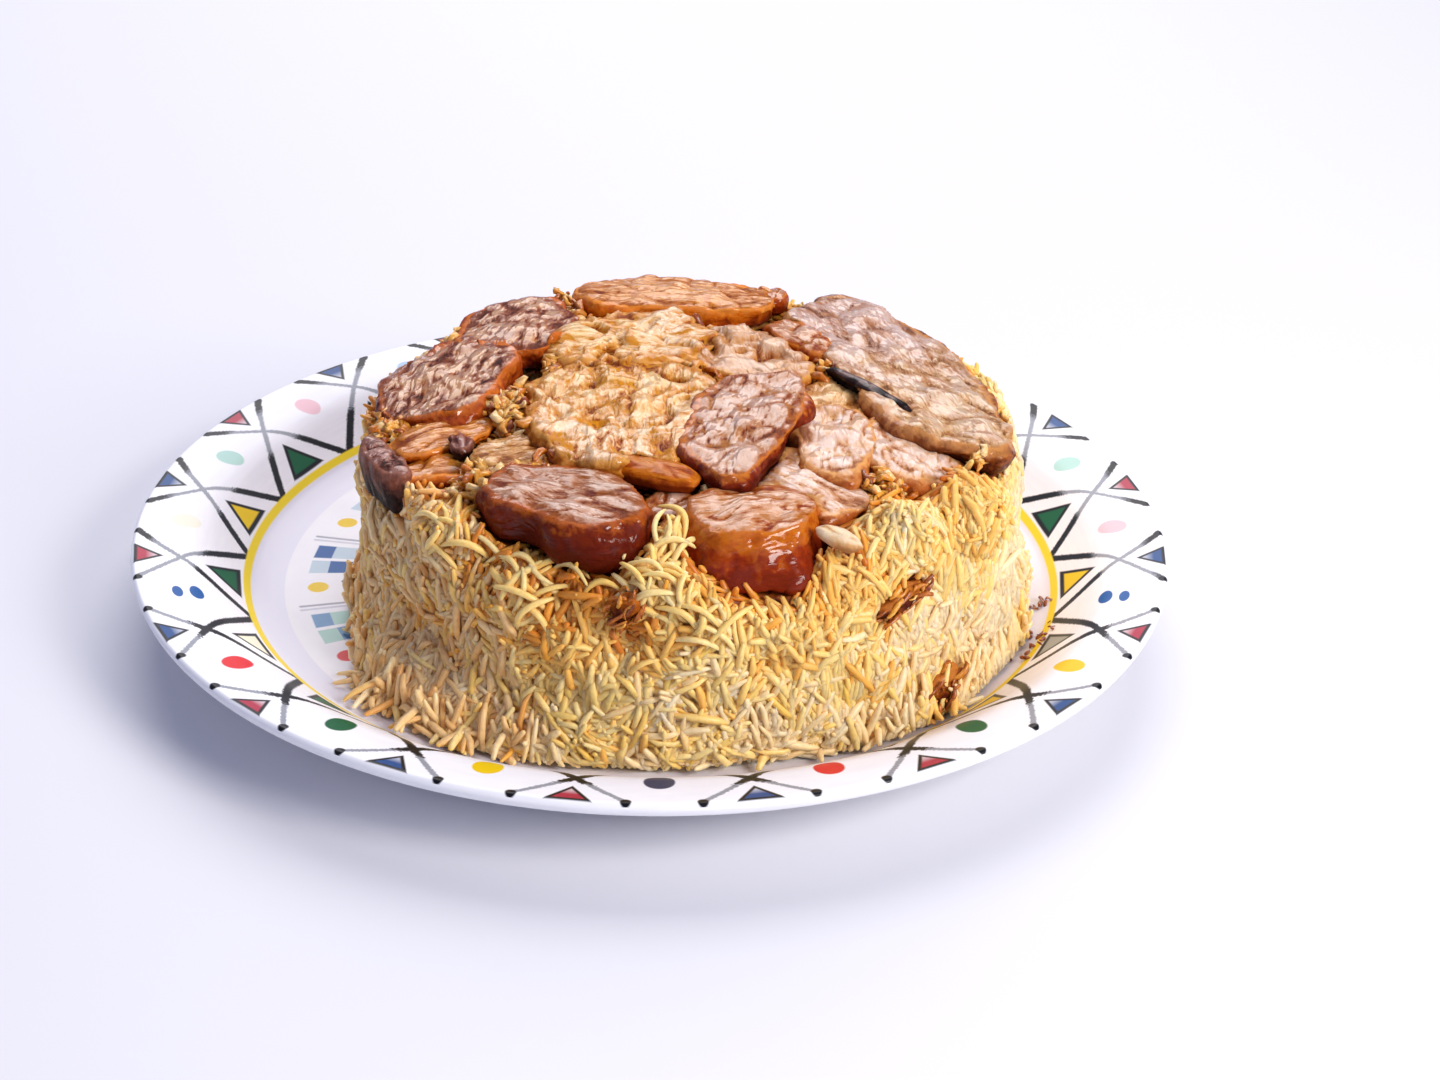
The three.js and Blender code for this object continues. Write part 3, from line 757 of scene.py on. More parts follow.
def near_outline(points):
    """1 at a piece's outline and 0 a few mm inside it, seen from above."""
    flat = points[:, :2] - points[:, :2].mean(axis=0)
    away, turn = np.linalg.norm(flat, axis=1), np.arctan2(flat[:, 1], flat[:, 0])
    sector = ((turn / (2 * math.pi) + 0.5) * SECTORS).astype(int) % SECTORS
    reach = np.zeros(SECTORS)
    np.maximum.at(reach, sector, away)
    middles = (np.arange(SECTORS) + 0.5) / SECTORS * 2 * math.pi - math.pi
    inside = np.interp(turn, middles, reach, period=2 * math.pi) - away
    return np.clip(1 - inside / BROWNED_EDGE, 0, 1)


def from_end_to_end(values):
    """Values brought to 0 at the least of them and 1 at the greatest."""
    return (values - values.min()) / np.ptp(values)


def lid_piece(node, relief, material, slot, seed):
    """Makes one piece of the lid from its solid."""
    small = node in SMALL
    piece = fine_copy(node, node + "_cooked", FINER if small else FINE, ROUNDS)
    mesh = piece.data
    points, normals = points_of(mesh), normals_of(mesh)
    axis = long_axis(points)
    form, texture = relief(points, axis, seed)
    on_top = fade(normals[:, 2], 0.3, 0.7)
    store(mesh, "upward", normals[:, 2])
    store(mesh, "height", fade(texture, *np.percentile(texture[on_top > 0.5], [4, 96])))
    store(mesh, "rise", from_end_to_end(points[:, 2]))
    store(mesh, "along", from_end_to_end(points @ axis))
    store(mesh, "outline", near_outline(points))
    store(mesh, "lie", stretched(points, UP if relief is skin_relief else axis, DRAWN_OUT))
    # The face sags softly, the sides take the form, and both take the texture.
    sag = 1.1 * ripple(points, 8, seed + 7) + 0.45 * ripple(points, 4, seed + 8)
    sag = 0.3 * sag + LIFTED.get(node, 0.0) if small else sag
    push = form * (1 - on_top) + sag * on_top + texture * (0.45 + 0.55 * on_top)
    spread = SPREAD.get(node, SWELL)
    set_points(mesh, points + normals * push[:, None] + normals * [spread, spread, 0])
    return finish_piece(piece, material, [node])


SMALL = {
    "aubergine_skin_strip", "carrot_strip", "almond_sliver", "pepper_bit_left", "tomato_bit_back",
    "meat_shred_front", "meat_shred_right", "meat_shred_right_low",
}
# The strip of skin stands up as a thin edge: it is lifted and made narrower, in mm.
LIFTED = {"aubergine_skin_strip": 2.2}
SPREAD = {"aubergine_skin_strip": -0.8}
sample = np.random.default_rng(1).random((500, 3)) * 50
print("creases, mean depth:", round(float(creases(sample, 3.4, 5).mean()), 3))

# %% [markdown]
# Browned food is a wet, slightly see-through stuff: light goes in, scatters and comes out warm, and
# a thin film of fat and juice lies on it. That is a base with subsurface scattering, and a glossy
# coat over it. The film fills the finest creases and follows the wider ones, so its shine breaks up
# into glints a few millimetres wide. The colour is laid in steps. The height of the texture picks a
# colour from deep brown to pale, partly painted shade in the creases and painted highlights on the
# ridges. Patches of a second colour come over it, and the sides are orange-brown, where the fat
# fried the rim, with a painted highlight along their top edge and painted shade at their foot.

# %% Browned materials
FAT_IOR = 1.55
# Where the face's tones lie between its deepest creases at 0 and its ridges at 1.
LEVELS = (0.12, 0.32, 0.50, 0.72)
# Sizes of the patterns in mm: slow changes of tone, patches, speckles, streaks and dents.
BROAD, PATCHES, SPECKLES, STREAKS, DENTS = 8, 5, 2.6, 1.2, 2.6


def cooked_food(
    name, tones, sides, patch, patchy=0.5, far=None, creased=0.5, wet=0.9, through=0.10, edged=0.8,
):
    """`tones` are the face's colours from its creases to its ridges: the dark creases are partly
    painted shade, and the pale ridges partly painted highlights. `sides` are the rim's colours: dark,
    middle, and the light edge where it meets the face, which is a painted highlight; the dark foot of
    the rim is painted shade. `patch` comes over the face in patches, as strongly as `patchy`. `far` are
    the tones at the piece's other end. `creased` is how much its creases show, `wet` how much fat lies
    on it, `through` how much light goes in, and `edged` how much the face darkens toward its outline."""
    material, tree = new_material(name)
    place = place_in_mm(tree)
    lie = add(tree, "Attribute", attribute_name="lie").outputs["Vector"]
    upward, height, rise, outline, along = (
        add(tree, "Attribute", attribute_name=stored).outputs["Fac"]
        for stored in ("upward", "height", "rise", "outline", "along")
    )
    broad = add(tree, "TexNoise", {"Vector": place, "Scale": 1 / BROAD, "Detail": 3.0})
    streaks = add(tree, "TexNoise", {
        "Vector": lie, "Scale": 1 / STREAKS, "Detail": 6.0, "Roughness": 0.75, "Distortion": 0.8,
    })
    mottle = add(tree, "TexNoise", {
        "Vector": place, "Scale": 1 / SPECKLES, "Detail": 4.0, "Distortion": 0.5,
    })

    # The face: three fields added up, brought to 0 to 1, pick the tone, from dark creases, partly
    # painted shade, to pale ridges, partly painted highlights. It browned most near the edge.
    level = add(tree, "Math", [height, 0.75], operation="MULTIPLY")
    level = add(tree, "Math", [streaks, creased + 0.7, level], operation="MULTIPLY_ADD")
    level = add(tree, "Math", [broad, 0.6, level], operation="MULTIPLY_ADD")
    level = add(tree, "Math", [outline, -0.25, level], operation="MULTIPLY_ADD")
    middle = 0.97 + creased / 2
    level = add(tree, "MapRange", {"Value": level, "From Min": middle - 0.5, "From Max": middle + 0.5})
    face = add(tree, "ValToRGB", [level], stops=list(zip(LEVELS, tones))).outputs[0]
    if far:
        other = add(tree, "ValToRGB", [level], stops=list(zip(LEVELS, far))).outputs[0]
        share = add(tree, "Math", [along, broad], operation="ADD")
        share = add(tree, "MapRange", {"Value": share, "From Min": 0.8, "From Max": 1.2})
        face = add(tree, "Mix", {0: share, 6: face, 7: other}, data_type="RGBA").outputs[2]
    cover = add(tree, "TexNoise", {
        "Vector": place, "Scale": 1 / PATCHES, "Detail": 5.0, "Distortion": 1.0,
    })
    cover = add(tree, "MapRange", {
        "Value": cover, "From Min": 0.50, "From Max": 0.60, "To Max": patchy,
    })
    face = add(tree, "Mix", {0: cover, 6: face, 7: linear(patch)}, data_type="RGBA").outputs[2]
    browned = add(tree, "Math", [mottle, 1.4, outline], operation="MULTIPLY_ADD")
    browned = add(tree, "MapRange", {
        "Value": browned, "From Min": 1.05, "From Max": 1.75, "To Max": edged,
    })
    face = add(tree, "Mix", {0: browned, 6: face, 7: linear(tones[1])}, data_type="RGBA").outputs[2]

    # The rim: painted shade, dark and mottled, at its foot, and a painted highlight, a glow, where it
    # meets the face.
    rise = add(tree, "Math", [mottle, 1.1, rise], operation="MULTIPLY_ADD")
    rise = add(tree, "MapRange", {"Value": rise, "From Min": 0.55, "From Max": 1.55})
    rim = add(tree, "ValToRGB", [rise], stops=[
        (0.25, tones[0]), (0.42, sides[0]), (0.72, sides[1]), (0.98, sides[2]),
    ]).outputs[0]
    # Where the rim turns up toward the face it is painted lighter: a painted highlight.
    turned = add(tree, "Math", [mottle, 0.5, upward], operation="MULTIPLY_ADD")
    edge = add(tree, "MapRange", {"Value": turned, "From Min": 0.6, "From Max": 1.0})
    rim = add(tree, "Mix", {0: edge, 6: rim, 7: linear(sides[2])}, data_type="RGBA").outputs[2]
    top = add(tree, "MapRange", {"Value": turned, "From Min": 1.0, "From Max": 1.15})
    colour = add(tree, "Mix", {0: top, 6: rim, 7: face}, data_type="RGBA").outputs[2]

    # The film of fat is smoother than the food below it. It is thin in the dark creases, and on the
    # upright sides it has drained away.
    dents = add(tree, "TexNoise", {
        "Vector": lie, "Scale": 1 / DENTS, "Detail": 1.0, "Distortion": 0.8,
    })
    relief = add(tree, "Math", [streaks, 0.6, dents], operation="MULTIPLY_ADD")
    bump = add(tree, "Bump", {"Strength": 0.8, "Distance": 1.2 * MM, "Height": relief})
    film_bump = add(tree, "Bump", {"Strength": 0.8, "Distance": 1.2 * MM, "Height": dents})
    film = add(tree, "MapRange", {
        "Value": level, "From Min": 0.22, "From Max": 0.65, "To Min": 0.06, "To Max": wet,
    })
    drained = add(tree, "MapRange", {
        "Value": upward, "From Min": 0.2, "From Max": 0.7, "To Min": 0.4, "To Max": 1.0,
    })
    film = add(tree, "Math", [film, drained], operation="MULTIPLY")
    shader = add(tree, "BsdfPrincipled", {
        "Base Color": colour, "Roughness": 0.6, "Normal": bump, "Specular IOR Level": 0.1,
        "Subsurface Weight": through, "Subsurface Radius": (1.0, 0.4, 0.15),
        "Subsurface Scale": 1.5 * MM,
        "Coat Weight": film, "Coat Roughness": 0.08, "Coat IOR": FAT_IOR, "Coat Normal": film_bump,
    })
    add(tree, "OutputMaterial", [shader])
    return material


print("tones of a face lie at", LEVELS)

# %% [markdown]
# No two pieces browned alike. What lay at the hot middle of the pot is umber, what lay in clean fat
# is tan, and what soaked in broth stayed pale. So each food gets a material for each way in which it
# cooked: four tones from its creases to its ridges, three for its rim, and one for its patches.

# %% Foods and how they browned
# From the hottest place: umber creases, red-brown ridges with a mauve sheen, an orange rim with a
# painted glow at its top.
potato_dark = cooked_food(
    "Potato_browned_dark_in_the_pot", ["#3c0c00", "#7c3004", "#b0662a", "#d09a68"],
    ("#6a1400", "#a84408", "#cc6c1e"), "#8c4008", 0.6, creased=0.9, wet=1.0)
# Browned in clean fat: a warm tan without much red, and a bright rim.
potato_tan = cooked_food(
    "Potato_browned_tan_in_the_pot", ["#7a2c02", "#b05e06", "#d08020", "#e49a48"],
    ("#9c3800", "#e0740e", "#f09438"), "#c46c0c", 0.6)
# Soaked in broth before it browned: pinkish tan, with brown only in the creases. The pale mauve of its
# ridges is partly a painted sheen.
potato_pink = cooked_food(
    "Potato_soaked_in_broth_and_browned", ["#5a1a06", "#a0501c", "#c08a66", "#d0a68c"],
    ("#5a1000", "#882a02", "#cc7424"), "#b4702a", 0.8)
# Lay half in the boiled-down juice: the same face, and a dark red-brown rim.
potato_juicy = cooked_food(
    "Potato_browned_in_dark_juice", ["#621a02", "#944a18", "#bc8662", "#cca288"],
    ("#601200", "#742200", "#b45812"), "#a65c1e", 0.7)
# Hardly browned: pale and pinkish all over, with tan creases.
potato_pale = cooked_food(
    "Potato_soaked_in_broth", ["#8c4a28", "#c88c60", "#dcb296", "#e8c6b0"],
    ("#9c4814", "#c87838", "#e0a05c"), "#d49850", 0.6, creased=0.4, edged=0.4)
# Lay in boiled-down juice: a clear glaze, red-brown as caramel, over a tan top.
potato_glazed = cooked_food(
    "Potato_glazed_with_dark_juice", ["#7a2000", "#a44c04", "#cc8c58", "#d8a480"],
    ("#8c2800", "#aa4400", "#cc7010"), "#bc701e", 0.7)
# Braised, then pulled: cream fibres, gold where the fat coloured them, brown in the seams. The brown in
# the seams is partly painted shade, and the palest cream partly painted highlight.
chicken = cooked_food(
    "Chicken_braised_and_pulled", ["#6a1e02", "#b8641c", "#e0a45c", "#f8d4a8"],
    ("#84380a", "#c47420", "#e0a04c"), "#d48a14", 1.0, creased=0.9, wet=0.8, edged=0.4,
    far=["#7a2c04", "#bc7014", "#dc9c44", "#f2c47e"])
# The part of the breast that the juice didn't reach: cream with a little tan.
chicken_pale = cooked_food(
    "Chicken_braised_and_hardly_browned", ["#78340c", "#b87440", "#d09c70", "#e6bc98"],
    ("#84380a", "#c47420", "#e0a04c"), "#d08c3c", 0.6, creased=0.7, wet=0.8, edged=0.4)
# Fried and stewed: grey mauve at the end that lay hottest, its pale mauve partly a painted sheen, tan
# and cream at the other.
aubergine = cooked_food(
    "Aubergine_fried_and_stewed", ["#6c3410", "#b07c44", "#d0a068", "#dcb890"],
    ("#501c06", "#9c5420", "#d08e4c"), "#b47440", 0.6, creased=0.9,
    far=["#6a3a24", "#ac7c64", "#d0a892", "#dcbaa8"])
# Skin: nearly black, with a violet cast where the light grazes its folds.
aubergine_skin = cooked_food(
    "Aubergine_skin_fried", ["#1a0402", "#703020", "#a06450", "#c09080"],
    ("#300a04", "#74402e", "#98604c"), "#4c1c10", 0.6, creased=0.9, wet=0.7, through=0.0)
# The cut edge of the skin: black, with hardly a streak.
skin_edge = cooked_food(
    "Aubergine_skin_cut_edge", ["#080303", "#1c0d0c", "#38201e", "#6c4c44"],
    ("#080303", "#180a08", "#30191a"), "#140807", 0.5, creased=0.6, wet=0.6, through=0.0)
# Stewed soft, its orange turned to amber by the fat.
carrot = cooked_food(
    "Carrot_stewed", ["#8c3400", "#b05400", "#c46404", "#d07c1c"],
    ("#943800", "#bc5c00", "#d07410"), "#b85800", 0.5, wet=0.4)
# Softened in fat: clear cream layers with browned edges.
onion = cooked_food(
    "Onion_softened_in_fat", ["#5e2206", "#b87430", "#d8a05c", "#eec48c"],
    ("#904010", "#c88038", "#e4b068"), "#b06c24", 0.6, creased=0.9, wet=0.8, edged=0.4)
# Blanched and split: ivory, hardly browned.
almond = cooked_food(
    "Almond_blanched_and_split", ["#b98452", "#dcb480", "#e8cca0", "#f2dcb8"],
    ("#d9a76c", "#e8c89c", "#f0d8b4"), "#e8c898", 0.4, wet=0.3, through=0.2, edged=0.2)
# Shreds of stewed meat: orange-brown fibres, dark between them.
shred = cooked_food(
    "Meat_shred_stewed", ["#4a1404", "#9c4a0e", "#c07028", "#d8924a"],
    ("#5c1c04", "#a8580e", "#c87c34"), "#8c400c", 0.6, creased=0.9, wet=0.3)
print("materials so far:", len(bpy.data.materials))

# %% [markdown]
# Now each piece of the lid is made from its solid, with the relief and the material of its food.
# Each has its own seed, so no two slices wrinkle alike. The piece takes the place of its solid.

# %% Pieces of the lid
LID = [
    ("potato_slice_centre", slice_relief, potato_pink, "potato"),
    ("potato_slice_back", slice_relief, potato_tan, "potato"),
    ("potato_slice_back_left", slice_relief, potato_dark, "potato"),
    ("potato_slice_left", slice_relief, potato_dark, "potato"),
    ("potato_slice_right_inner", slice_relief, potato_pale, "potato"),
    ("potato_slice_right_outer", slice_relief, potato_pale, "potato"),
    ("potato_slice_front_left", slice_relief, potato_juicy, "potato"),
    ("potato_slice_low_left", slice_relief, potato_tan, "potato"),
    ("potato_slice_lower_left", slice_relief, potato_tan, "potato"),
    ("potato_slice_low_right", slice_relief, potato_pale, "potato"),
    ("potato_sliver_front", slice_relief, potato_pink, "potato"),
    ("potato_chunk_front", slice_relief, potato_glazed, "potato"),
    ("potato_wedge_back_right", slice_relief, potato_glazed, "potato"),
    ("chicken_piece_front", meat_relief, chicken, "chicken"),
    ("chicken_piece_back", meat_relief, chicken, "chicken"),
    ("chicken_piece_right", meat_relief, chicken_pale, "chicken"),
    ("aubergine_slice", aubergine_relief, aubergine, "aubergine_flesh"),
    ("aubergine_skin_strip", small_relief, skin_edge, "aubergine_skin"),
    ("aubergine_piece_left", skin_relief, aubergine_skin, "aubergine_skin"),
    ("pepper_bit_left", shred_relief, aubergine_skin, "aubergine_skin"),
    ("onion_slice", aubergine_relief, onion, "onion"),
    ("onion_strip_left", aubergine_relief, onion, "onion"),
    ("carrot_strip", small_relief, carrot, "carrot"),
    ("tomato_bit_back", small_relief, potato_glazed, "potato"),
    ("almond_sliver", small_relief, almond, "almond"),
    ("meat_shred_front", shred_relief, shred, "meat"),
    ("meat_shred_right", shred_relief, shred, "meat"),
    ("meat_shred_right_low", shred_relief, shred, "meat"),
]
lid = [lid_piece(*row, 100 + 10 * number) for number, row in enumerate(LID)]
print("lid:", len(lid), "pieces,", sum(len(p.data.polygons) for p in lid) * 2, "triangles")

# %% [markdown]
# The rice is long-grain rice, steamed in the broth until each grain is 8 to 12 mm long and 2 mm
# thick. The drum is one soft mass with thousands of grains showing. A core carries them: the
# solid's own form, a little smaller and softly uneven, in the colour of the shade between grains.
# A few hollows are pressed into it, where the real drum lost a lump as the pot came off.

# %% Core of the rice
CORE_VOXEL = 2.0
CORE_DEPTH = 1.4
RICE_MIDDLE = np.array(sum(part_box("rice_cake"), Vector()) / 2 / MM)[:2]
# A radius well outside the drum, how far apart its grains lie, and where its right side begins and
# is full, all in mm.
OUTSIDE = 130.0
GRAIN_SPACING = 2.0
RIGHT_SIDE = (10.0, 60.0)
# Angle round the drum in degrees, height, radius and depth in mm.
HOLLOWS = [
    (-111, 56, 6.0, 3.6), (-127, 52, 6.0, 3.6), (-113, 48, 4.5, 3.2), (-137, 27, 7.0, 2.6),
    (-145, 25, 5.0, 2.4), (-101, 42, 5.0, 2.2), (-60, 18, 6.0, 1.6), (-78, 34, 5.0, 1.6),
]


def packed_rice():
    """Grains that lie too deep to be modelled: cream to yellow, and brown where juice soaked in and
    where painted shade lies in the hollows and gaps.
    """
    material, tree = new_material("Rice_packed_and_shaded")
    place = place_in_mm(tree)
    fine = add(tree, "TexVoronoi", {"Vector": place, "Scale": 1 / GRAIN_SPACING})
    stain_and_shade = add(tree, "Attribute", attribute_name="stain_and_shade").outputs["Fac"]
    stops = [(0.0, "#f4b458"), (0.35, "#e49434"), (0.6, "#b45c0c"), (0.85, "#6c2c04")]
    dark = add(tree, "ValToRGB", [stain_and_shade], stops=stops).outputs[0]
    stops = [(0.0, "#fcd488"), (0.35, "#f8c064"), (0.6, "#dc882c"), (0.85, "#a04c0c")]
    lit = add(tree, "ValToRGB", [stain_and_shade], stops=stops).outputs[0]
    colour = add(tree, "Mix", {0: fine, 6: lit, 7: dark}, data_type="RGBA").outputs[2]
    bump = add(tree, "Bump", {"Strength": 0.6, "Distance": 1.0 * MM, "Height": fine})
    shader = add(tree, "BsdfPrincipled", {"Base Color": colour, "Roughness": 0.55, "Normal": bump})
    add(tree, "OutputMaterial", [shader])
    return material


def level_way(angle):
    """The level direction at an angle in degrees."""
    return np.array([math.cos(math.radians(angle)), math.sin(math.radians(angle)), 0.0])


def met_from_outside(angle, height, reach=OUTSIDE):
    """The point of the core that a level ray meets first, and its normal."""
    way = level_way(angle)
    start = np.array([*RICE_MIDDLE, height]) + way * OUTSIDE
    return core_tree.ray_cast(Vector(start), Vector(-way), reach)[:2]


def angles_of(points):
    """Where points lie round the drum, in degrees from the right."""
    across, deep = (points[:, :2] - RICE_MIDDLE).T
    return np.degrees(np.arctan2(deep, across))


def near_hollow(points, angle, height, radius):
    """A soft spot on the drum: 1 at its middle, near 0 past its radius."""
    away = np.linalg.norm(points - np.array(met_from_outside(angle, height)[0]), axis=1)
    return np.exp(-(away / radius) ** 2)


def tree_of(objects):
    """One search tree over several pieces, in millimetres."""
    points, faces, start = [], [], 0
    for piece in objects:
        own = points_of(piece.data)
        points.extend(own.tolist())
        faces.extend([[start + v for v in face.vertices] for face in piece.data.polygons])
        start += len(own)
    return BVHTree.FromPolygons(points, faces)


core = fine_copy("rice_cake", "rice_core", CORE_VOXEL, 6)
core_tree = tree_of([core])
core_points, core_normals = points_of(core.data), normals_of(core.data)
# At the right the grains are packed tight, so the core comes nearer to the surface there.
push = 0.8 * fade(core_points[:, 0], *RIGHT_SIDE) - CORE_DEPTH
push += 1.1 * ripple(core_points, 14, 21) + 0.35 * ripple(core_points, 6, 22)
for *spot, depth in HOLLOWS:
    push -= depth * near_hollow(core_points, *spot)
set_points(core.data, core_points + core_normals * push[:, None])
finish_piece(core, packed_rice(), ["rice_cake"])
core_tree = tree_of([core])
print("core:", len(core.data.polygons), "faces")

# %% [markdown]
# Where the grains go: points are drawn all over the core, more where a face is larger. Those that
# face down, or lie under a piece of the lid, are dropped: a ray sent out from the core finds the
# piece. Grains must not cut into the plate either, so the ones at the foot are lifted clear of it.
# A few fell off as the pot was pulled away and lie on the plate.

# %% Places for grains
GRAIN_LENGTH, GRAIN_WIDTH = 11.0, 1.65
DRAWN = 23000
# Where the drum's foot is measured, and how far down a face may point and still carry grains.
FOOT_HEIGHT = 8.0
FACING_DOWN = -0.45
random = np.random.default_rng(7)


def draw_places(count):
    """Random points on the core, with the core's normal there."""
    mesh = core.data
    mesh.calc_loop_triangles()
    corners = np.empty(len(mesh.loop_triangles) * 3, np.int32)
    mesh.loop_triangles.foreach_get("vertices", corners)
    corners = corners.reshape(-1, 3)
    a, b, c = points_of(mesh)[corners.T]
    area = np.linalg.norm(np.cross(b - a, c - a), axis=1) / 2
    facing = normals_of(mesh)[corners].mean(axis=1)
    area[facing[:, 2] < FACING_DOWN] = 0
    chosen = random.choice(len(area), size=count, p=area / area.sum())
    u, v = random.random(count), random.random(count)
    u, v = np.where(u + v > 1, 1 - u, u), np.where(u + v > 1, 1 - v, v)
    places = a[chosen] + u[:, None] * (b - a)[chosen] + v[:, None] * (c - a)[chosen]
    return places, unit(facing[chosen])


def plate_height(radius):
    """Height of the plate's upper face at a distance from its centre."""
    along, level = zip(*plate_top())
    return np.interp(radius, along, level)


def foot_places(count, first, last, reach):
    """Places on the plate round the drum's foot, between two angles."""
    found = []
    for angle, away in zip(random.uniform(first, last, count), random.uniform(*reach, count)):
        foot = np.array(met_from_outside(angle, FOOT_HEIGHT)[0])
        x, y = (foot + away * level_way(angle))[:2]
        found.append((x, y, plate_height(math.hypot(x, y))))
    return np.array(found)


lid_tree = tree_of(lid)
places, outward = draw_places(DRAWN)
clear = np.array([
    lid_tree.ray_cast(Vector(p) - Vector(n) * 0.5, Vector(n), 5.0)[0] is None
    for p, n in zip(places.tolist(), outward.tolist())
])
spilled = np.vstack([foot_places(70, -152, -118, (-1.0, 5.0)), foot_places(14, -80, -40, (-1.0, 1.5))])
places = np.vstack([places[clear], spilled])
outward = np.vstack([outward[clear], np.tile([0.0, -0.05, 1.0], (len(spilled), 1))])
round_drum = angles_of(places)
print("places for grains:", len(places))

# %% [markdown]
# How a grain lies: along the surface in any direction, more often upright than level on the sides,
# because the mass slid down the pot's wall as it was turned out. At the right the grains are packed
# and combed upright; at the left and the front they are loose, so more of them stand out. Each
# grain is bent a little.

# %% Lie of the grains
# Half a grain without its tip, as a share of its length, and how near to the lid it may come in mm.
NEAR_END = 0.48
LID_GAP = 0.4


def about(values, middle, reach):
    """A bell over angles or heights: 1 at its middle, near 0 past its reach."""
    return np.exp(-((values - middle) / reach) ** 2)


def lie_of(outward, combed, loose):
    """For each grain: its direction, and the direction in which it is bent. `combed` is how far it
    stands upright, and `loose` how easily it stands out, both from 0 to 1."""
    count = len(outward)
    level = unit(np.cross(UP, outward) + 1e-6 * random.normal(size=(count, 3)))
    upright = unit(np.cross(outward, level))
    turn = random.uniform(0, math.pi, count)
    stood = random.random(count) < 0.28 + 0.42 * combed
    turn = np.where(stood, math.pi / 2 + random.normal(0, 0.4, count), turn)
    tip = np.abs(random.normal(0.03, 0.09, count)) * (1 - 0.6 * combed)
    tip = np.where(random.random(count) < 0.03 + 0.08 * loose, tip + 0.35, tip)
    flat = level * np.cos(turn)[:, None] + upright * np.sin(turn)[:, None]
    along = unit(flat * np.cos(tip)[:, None] + outward * np.sin(tip)[:, None])
    side = unit(np.cross(along, outward))
    roll = random.uniform(0, 2 * math.pi, count)
    bent = side * np.cos(roll)[:, None] + unit(np.cross(side, along)) * np.sin(roll)[:, None]
    return along, unit(bent)


def lifted(places, along, length):
    """Places moved up until both ends of each grain are clear of the plate."""
    lift = np.zeros(len(places))
    for share in (-0.5, 0.0, 0.5):
        point = places + along * (length * share)[:, None]
        floor_here = plate_height(np.hypot(point[:, 0], point[:, 1])) + GRAIN_WIDTH * 0.55
        lift = np.maximum(lift, floor_here - point[:, 2])
    return places + np.column_stack([np.zeros((len(places), 2)), lift])


def hits_lid(point):
    """True if a point is inside a piece of the lid or too near to it."""
    near, normal, _, distance = lid_tree.find_nearest(point, 6.0)
    if near is None:
        return False
    return (Vector(point) - near).dot(normal) < 0 or distance < LID_GAP


def clear_of_lid(places, along, length):
    """True for each grain whose two ends are clear of the lid's pieces."""
    ends = [places + along * (length * share)[:, None] for share in (-NEAR_END, NEAR_END)]
    pairs = zip(ends[0].tolist(), ends[1].tolist())
    return np.array([not any(hits_lid(end) for end in pair) for pair in pairs])


count = len(places)
combed = fade(places[:, 0], *RIGHT_SIDE)
loose = 1 - combed
along, bent = lie_of(outward, combed, loose)
length = np.clip(random.normal(GRAIN_LENGTH, 2.2, count), 4.5, 14.5)
width = np.clip(random.normal(GRAIN_WIDTH, 0.25, count), 1.3, 2.6)
bend = np.abs(random.normal(0.9, 0.8, count)) * (1 - 0.4 * combed)
places = places + outward * (random.uniform(-0.3, 1.2, count) * (1 - 0.55 * combed))[:, None]
places = lifted(places, along, length)
clear = clear_of_lid(places, along, length)
print("grains clear of the lid:", int(clear.sum()), "of", count)

# %% [markdown]
# The colour of a grain tells where it cooked. Deep in the pot the rice stayed cream. Next to the
# lid it soaked up fat and juice and turned gold, and some of it orange-brown. At the right it is a
# bright light yellow, and at the left, where it touched the pot's wall, beige. A value of stain and
# shade is worked out for each grain from its place and a slow random field, and picks the kind; it
# holds painted shade too, in the hollows and in the gaps between the lid's pieces. Steamed rice is
# smooth, damp and lets light through, so it has subsurface scattering and a soft shine.

# %% Kinds of rice
# How far the juice of the lid reached down into the rice, in mm.
JUICE_REACH = 16.0


def stain_and_shade_of(places, outward, round_drum):
    """How much juice a grain took up, with painted shade in hollows and gaps added, from about 0 to 1.
    """
    near = [lid_tree.find_nearest(p, JUICE_REACH)[3] or JUICE_REACH for p in places.tolist()]
    near = np.array(near)
    stain_and_shade = 0.10 + 0.24 * ripple(places, 13, 3) + 0.16 * ripple(places, 5, 4)
    # More near the top, next to the lid and at the front, and less at the right.
    stain_and_shade += 0.30 * fade(places[:, 2], 12, 58) + 0.24 * (1 - fade(near, 0, 12))
    stain_and_shade += 0.32 * about(round_drum, -112, 26) * about(places[:, 2], 44, 18)
    stain_and_shade -= 0.20 * fade(places[:, 0], 10, 55)
    # In the hollows the grains are darker: painted shade.
    for *spot, _ in HOLLOWS:
        stain_and_shade += 0.35 * near_hollow(places, *spot)
    # Between the pieces of the lid it is brown, as painted shade, but in the lid's front gap it is
    # golden.
    gap = np.clip(outward[:, 2] * 3 - 1.4, 0, 1) * (1 - fade(near, 3, 6))
    gap -= about(round_drum, -97, 9) * about(places[:, 2], 60, 10)
    return stain_and_shade + 0.4 * gap


